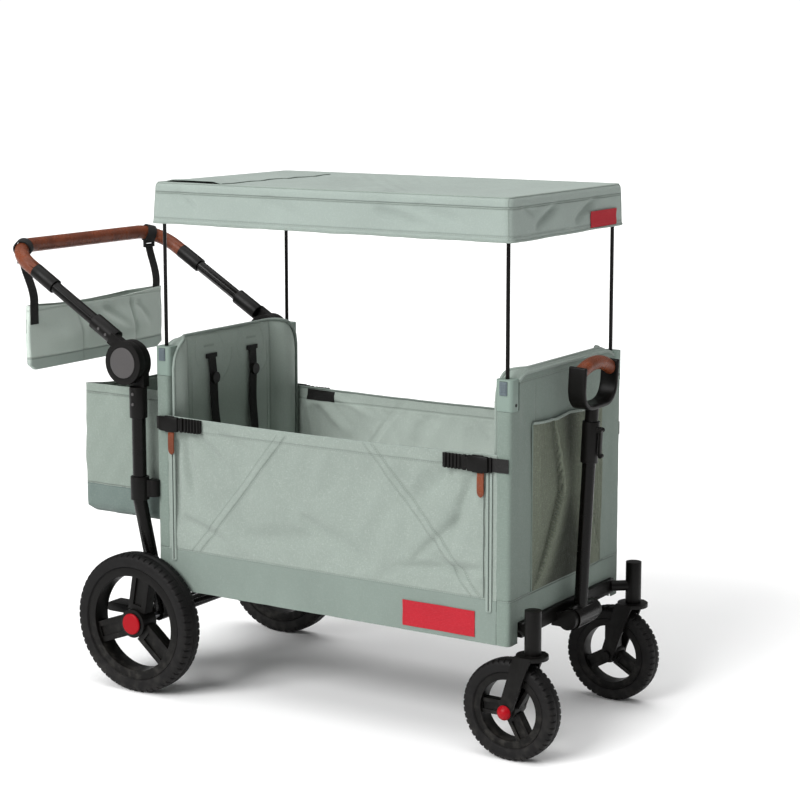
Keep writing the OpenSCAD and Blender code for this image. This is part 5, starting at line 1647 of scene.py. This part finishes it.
for side, hand in SIDES:
    y, z = side * (mat_high.y + 0.0008), mat_low.z - 0.002
    strip = bottom_strip("bottom_" + hand, "rear_frame", (wall_low.x, y, z), (wall_high.x, y, z),
                         (0, side * (SIDE - 0.0048 - mat_high.y), -0.003))
    crumple(strip)
for end, post, out in (("rear", REAR_POST, -1), ("front", FRONT_POST, 1)):
    x, z = post - out * 0.005, mat_low.z + 0.0032
    bottom_strip("bottom_" + end, end + "_frame", (x, -HINGE_CLEAR, z), (x, HINGE_CLEAR, z),
                 (-out * 0.042, 0, -0.0048))
print("bottom of the tub")

# %% [markdown]
# ## Wheels
# A tyre is a profile swept round the axle. Every few degrees the shoulder drops into a notch, which makes
# the tread. The rims, forks and caps are CAD copies with bevelled edges.

# %% Wheels
NOTCH = 0.0026


def tyre(node, depth, blocks):
    """A tyre from half a profile of (drop from the tread, share of the half width, depth of the notch)."""
    low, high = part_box(node)
    centre = (low + high) / 2
    radius, half = (high.z - low.z) / 2, (high.y - low.y) / 2
    bead = [(-depth + 0.0004, 0.80, 0), (-depth + 0.003, 0.93, 0)]
    shoulder = [
        (0.60, 0.995, 0), (0.42, 1.0, 0), (0.30, 0.985, 0.4), (0.17, 0.93, 1), (0.07, 0.80, 1),
        (0.025, 0.62, 1), (0.012, 0.46, 0.5), (0.006, 0.36, 0), (0.004, 0.16, 0),
        (0.035, 0.13, 0), (0.035, 0.07, 0), (0.0, 0.04, 0),
    ]
    half_profile = bead + [(-share * depth, y, notch) for share, y, notch in shoulder]
    profile = half_profile + [(drop, -y, notch) for drop, y, notch in reversed(half_profile)]
    profile.append(profile[0])
    steps = 8 * blocks

    def place(i, j):
        drop, y, notch = profile[j]
        shift = 0 if y > 0 else 4
        cut = 1.0 if (i + shift) % 8 < 2 else 0.0
        reach = radius + drop - notch * cut * NOTCH
        angle = 2 * math.pi * i / steps
        return centre + Vector((reach * math.cos(angle), half * y, reach * math.sin(angle)))

    o = clean(grid(node + "_look", steps, len(profile) - 1, place))
    coat(o, tyre_rubber, 28)
    hand_over(o, nodes[node]["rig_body"], "tyre_black", node)


def front_axle(node, left):
    """An axle bolt in two colours: a red cap on the outside and a black end on the inside."""
    low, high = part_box(node)
    for outside in (True, False):
        o = cad_copy(node, node + ("_cap" if outside else "_bolt"))
        cut_away(o, (low + high) / 2, (0, 1, 0), inner=left == outside, outer=left != outside)
        bevel(o, 0.0008)
        coat(o, red_gloss if outside else black_moulding, 32)
        hand_over(o, nodes[node]["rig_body"], "plastic_red" if outside else "plastic_black", node)


for side, hand in SIDES:
    tyre("rear_tyre_" + hand, 0.030, 60)
    tyre("front_tyre_" + hand, 0.026, 48)
    dress("rear_rim_" + hand, black_moulding, "plastic_black", 0.0022, 3)
    dress("front_rim_" + hand, black_moulding, "plastic_black", 0.0018, 3)
    dress("caster_fork_" + hand, black_moulding, "plastic_black", 0.0018, 3)
    front_axle("front_axle_" + hand, side > 0)
dress("rear_axle_caps", red_gloss, "plastic_red", 0.0008)
dress("rear_axle", axle_steel, "steel_axle", 0.0008)
print("wheels")

# %% [markdown]
# ## Frame, hubs and handles
# The hard parts keep their CAD shapes and get their finish: powder coat on tubes, fine grain on mouldings
# and leather on the grips. Only the frame of the pull grip is bent anew, as one band.

# %% Frame, hubs and handles
for node in ("rear_end_frame", "front_end_frame", "push_frame", "floor_frame_rear", "floor_frame_front",
             "handle_bar", "canopy_hoop_rear", "canopy_hoop_front", "pull_tube"):
    dress(node, black_coat, "frame_black", 0)
for node in ("hub_sockets", "hub_arms", "front_beam", "brake_pedal", "pull_sleeve", "pull_lever"):
    dress(node, black_moulding, "plastic_black", 0.0015, 3)
dress("upright_clamps", black_moulding, "plastic_black", 0.0032, 4)
for node in ("rear_pole_sockets", "front_pole_sockets"):
    dress(node, sage_moulding, "plastic_sage", 0.0012, 3)
for node in POLE_KEYS:
    dress(node, key_grey, "plastic_grey", 0.0005)
for side, hand in SIDES:
    dress("hub_button_" + hand, grey_moulding, "plastic_grey", 0.0012, 3)
PULL_LEAN = math.radians(2.8)
PULL_FOOT = Vector((0.616174, 0, 0.243))
PULL_UP = Vector((math.sin(PULL_LEAN), 0, math.cos(PULL_LEAN)))
PULL_OUT = Vector((PULL_UP.z, 0, -PULL_UP.x))
LOOP_HALF = 0.0705
LOOP_BEND = 0.047
NECK_TOP, LOOP_LOW, LOOP_TOP = 0.4278, 0.4325, 0.518


def pull_loop(node):
    """The grip's frame: the neck as the CAD has it, and a flat band bent to a U with a round bottom."""
    neck = cut_away(cad_copy(node, node + "_neck"), PULL_FOOT + PULL_UP * NECK_TOP, PULL_UP, outer=True)
    corners = [(-LOOP_HALF, LOOP_TOP), (-LOOP_HALF, LOOP_LOW), (LOOP_HALF, LOOP_LOW), (LOOP_HALF, LOOP_TOP)]
    bent = round_corners(corners, LOOP_BEND, 16)
    line = [PULL_FOOT + Vector((0, y, 0)) + PULL_UP * z for y, z in bent]
    band = bevel(strap(node + "_band", line, PULL_OUT, 0.038, 0.009), 0.0028, 3, 60)
    o = coat(joined(node + "_look", [neck, band]), black_moulding, 32)
    hand_over(o, nodes[node]["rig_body"], "plastic_black", node)


pull_loop("pull_grip_frame")
dress("handle_grip", tan_leather, "leather_tan", 0)
dress("pull_grip", tan_leather, "leather_tan", 0)
print("hard parts")

# %% [markdown]
# ## Small fasteners
# Rivets hold the sleeves to their tubes, ribs give a thumb some hold on the pole keys, a dark dished disc on
# each pole socket is painted shade for a hole, and a row of stitches closes the leather under the push bar.

# %% Small fasteners
HUB = Vector((-0.3378, 0, 0.715))
ARM_TILT = math.radians(31)
ARM_RUN = Vector((-math.cos(ARM_TILT), 0, math.sin(ARM_TILT)))
ARM_LIFT = 0.025 * Vector((math.sin(ARM_TILT), 0, math.cos(ARM_TILT)))
BAR_RUN = 0.401
UPRIGHT = Vector((-0.3118, 0, 0))
ARM_SIDE = 0.2741
UPRIGHT_SIDE = 0.2761


def rivet(at, side):
    """A low domed head on the outer side of a sleeve."""
    dome = [(0.0003, 0.0012), (0.0020, 0.0010), (0.0032, 0.0004), (0.0034, -0.0012), (0.0003, -0.0012)]
    return turned("rivet", [(r, side * y) for r, y in dome], at, 20)


def rivets(name, body, places, y):
    heads = [rivet(Vector((at.x, side * y, at.z)), side) for at in places for side in (-1, 1)]
    hand_over(coat(joined(name, heads), grey_moulding), body, "plastic_grey")


rivets("arm_rivets", "push_handle", [HUB + ARM_LIFT + ARM_RUN * s for s in (0.070, 0.092)], ARM_SIDE)
rivets("upright_rivets", "rear_frame", [UPRIGHT + Vector((0, 0, z)) for z in (0.628, 0.650)], UPRIGHT_SIDE)


def key_ribs(node):
    """Five low ribs across the outer face of a pole key."""
    low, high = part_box(node)
    face = low.y if high.y < 0 else high.y
    ribs = []
    for k in range(5):
        z = low.z + (high.z - low.z) * (k + 1) / 6
        start = (low.x + 0.002, face - 0.0009, z - 0.0011)
        end = (high.x - 0.002, face + 0.0009, z + 0.0011)
        ribs.append(block("rib", start, end, 0.0004))
    hand_over(coat(joined(node + "_ribs", ribs), key_grey), nodes[node]["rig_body"], "plastic_grey")


for node in POLE_KEYS:
    key_ribs(node)


def socket_hole_shades(node, body, out):
    """A dark dished disc on the face of each pole socket: painted shade that stands for a hole."""
    low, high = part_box(node)
    face = high.x if out > 0 else low.x
    sunk = [
        (0.0003, -0.0002), (0.0019, -0.0002), (0.0026, 0.0005),
        (0.0032, 0.0004), (0.0032, -0.0010), (0.0003, -0.0010),
    ]
    hole_shades = []
    for side in (-1, 1):
        at = Vector((face, side * (high.y - 0.016), low.z + 0.012))
        hole_shades.append(face_along_x(turned("hole_shade", sunk, (0, 0, 0), 20), at, out))
    hand_over(coat(joined(node + "_screws", hole_shades), black_moulding), body, "plastic_black")


socket_hole_shades("front_pole_sockets", "front_frame", 1)
socket_hole_shades("rear_pole_sockets", "rear_frame", -1)


def grip_stitches():
    """Slanting stitches in a row along the underside of the push bar."""
    bar = HUB + ARM_LIFT + ARM_RUN * BAR_RUN
    under = Vector((0.78, 0, -0.62)) * 0.0161
    half = Vector((0.62, 0, 0.78)) * 0.0035 + Vector((0, 0.002, 0))
    parts = []
    for k in range(38):
        at = bar + under + Vector((0, -0.172 + 0.0093 * k, 0))
        parts.append(tube("stitch", [at - half, at + half], 0.0006, roundness=1))
    return coat(joined("grip_stitches", parts), leather("dark_thread", srgb(58, 30, 18), srgb(34, 18, 12)))


hand_over(grip_stitches(), "push_handle", "leather_tan")
print("rivets, ribs, screws and stitches")

# %% [markdown]
# ## Floor of the studio
# A plain pale floor takes the soft contact shadows.

# %% Studio floor


def studio_floor():
    bpy.ops.mesh.primitive_grid_add(x_subdivisions=4, y_subdivisions=4, size=40)
    floor = bpy.context.object
    floor.name = "studio_floor"
    material, tree, shader = new_material("studio_white")
    tone = noise(tree, object_place(tree), 3.0, 2.0)
    shade = calc(tree, "MULTIPLY_ADD", tone, 0.01, 0.93)
    grey = add(tree, "CombineColor", {"Red": shade, "Green": shade, "Blue": shade}).outputs[0]
    tree.links.new(grey, shader.inputs["Base Color"])
    shader.inputs["Roughness"].default_value = 0.9
    floor.data.materials.append(material)


studio_floor()

# %% Finish
bpy.context.view_layer.update()
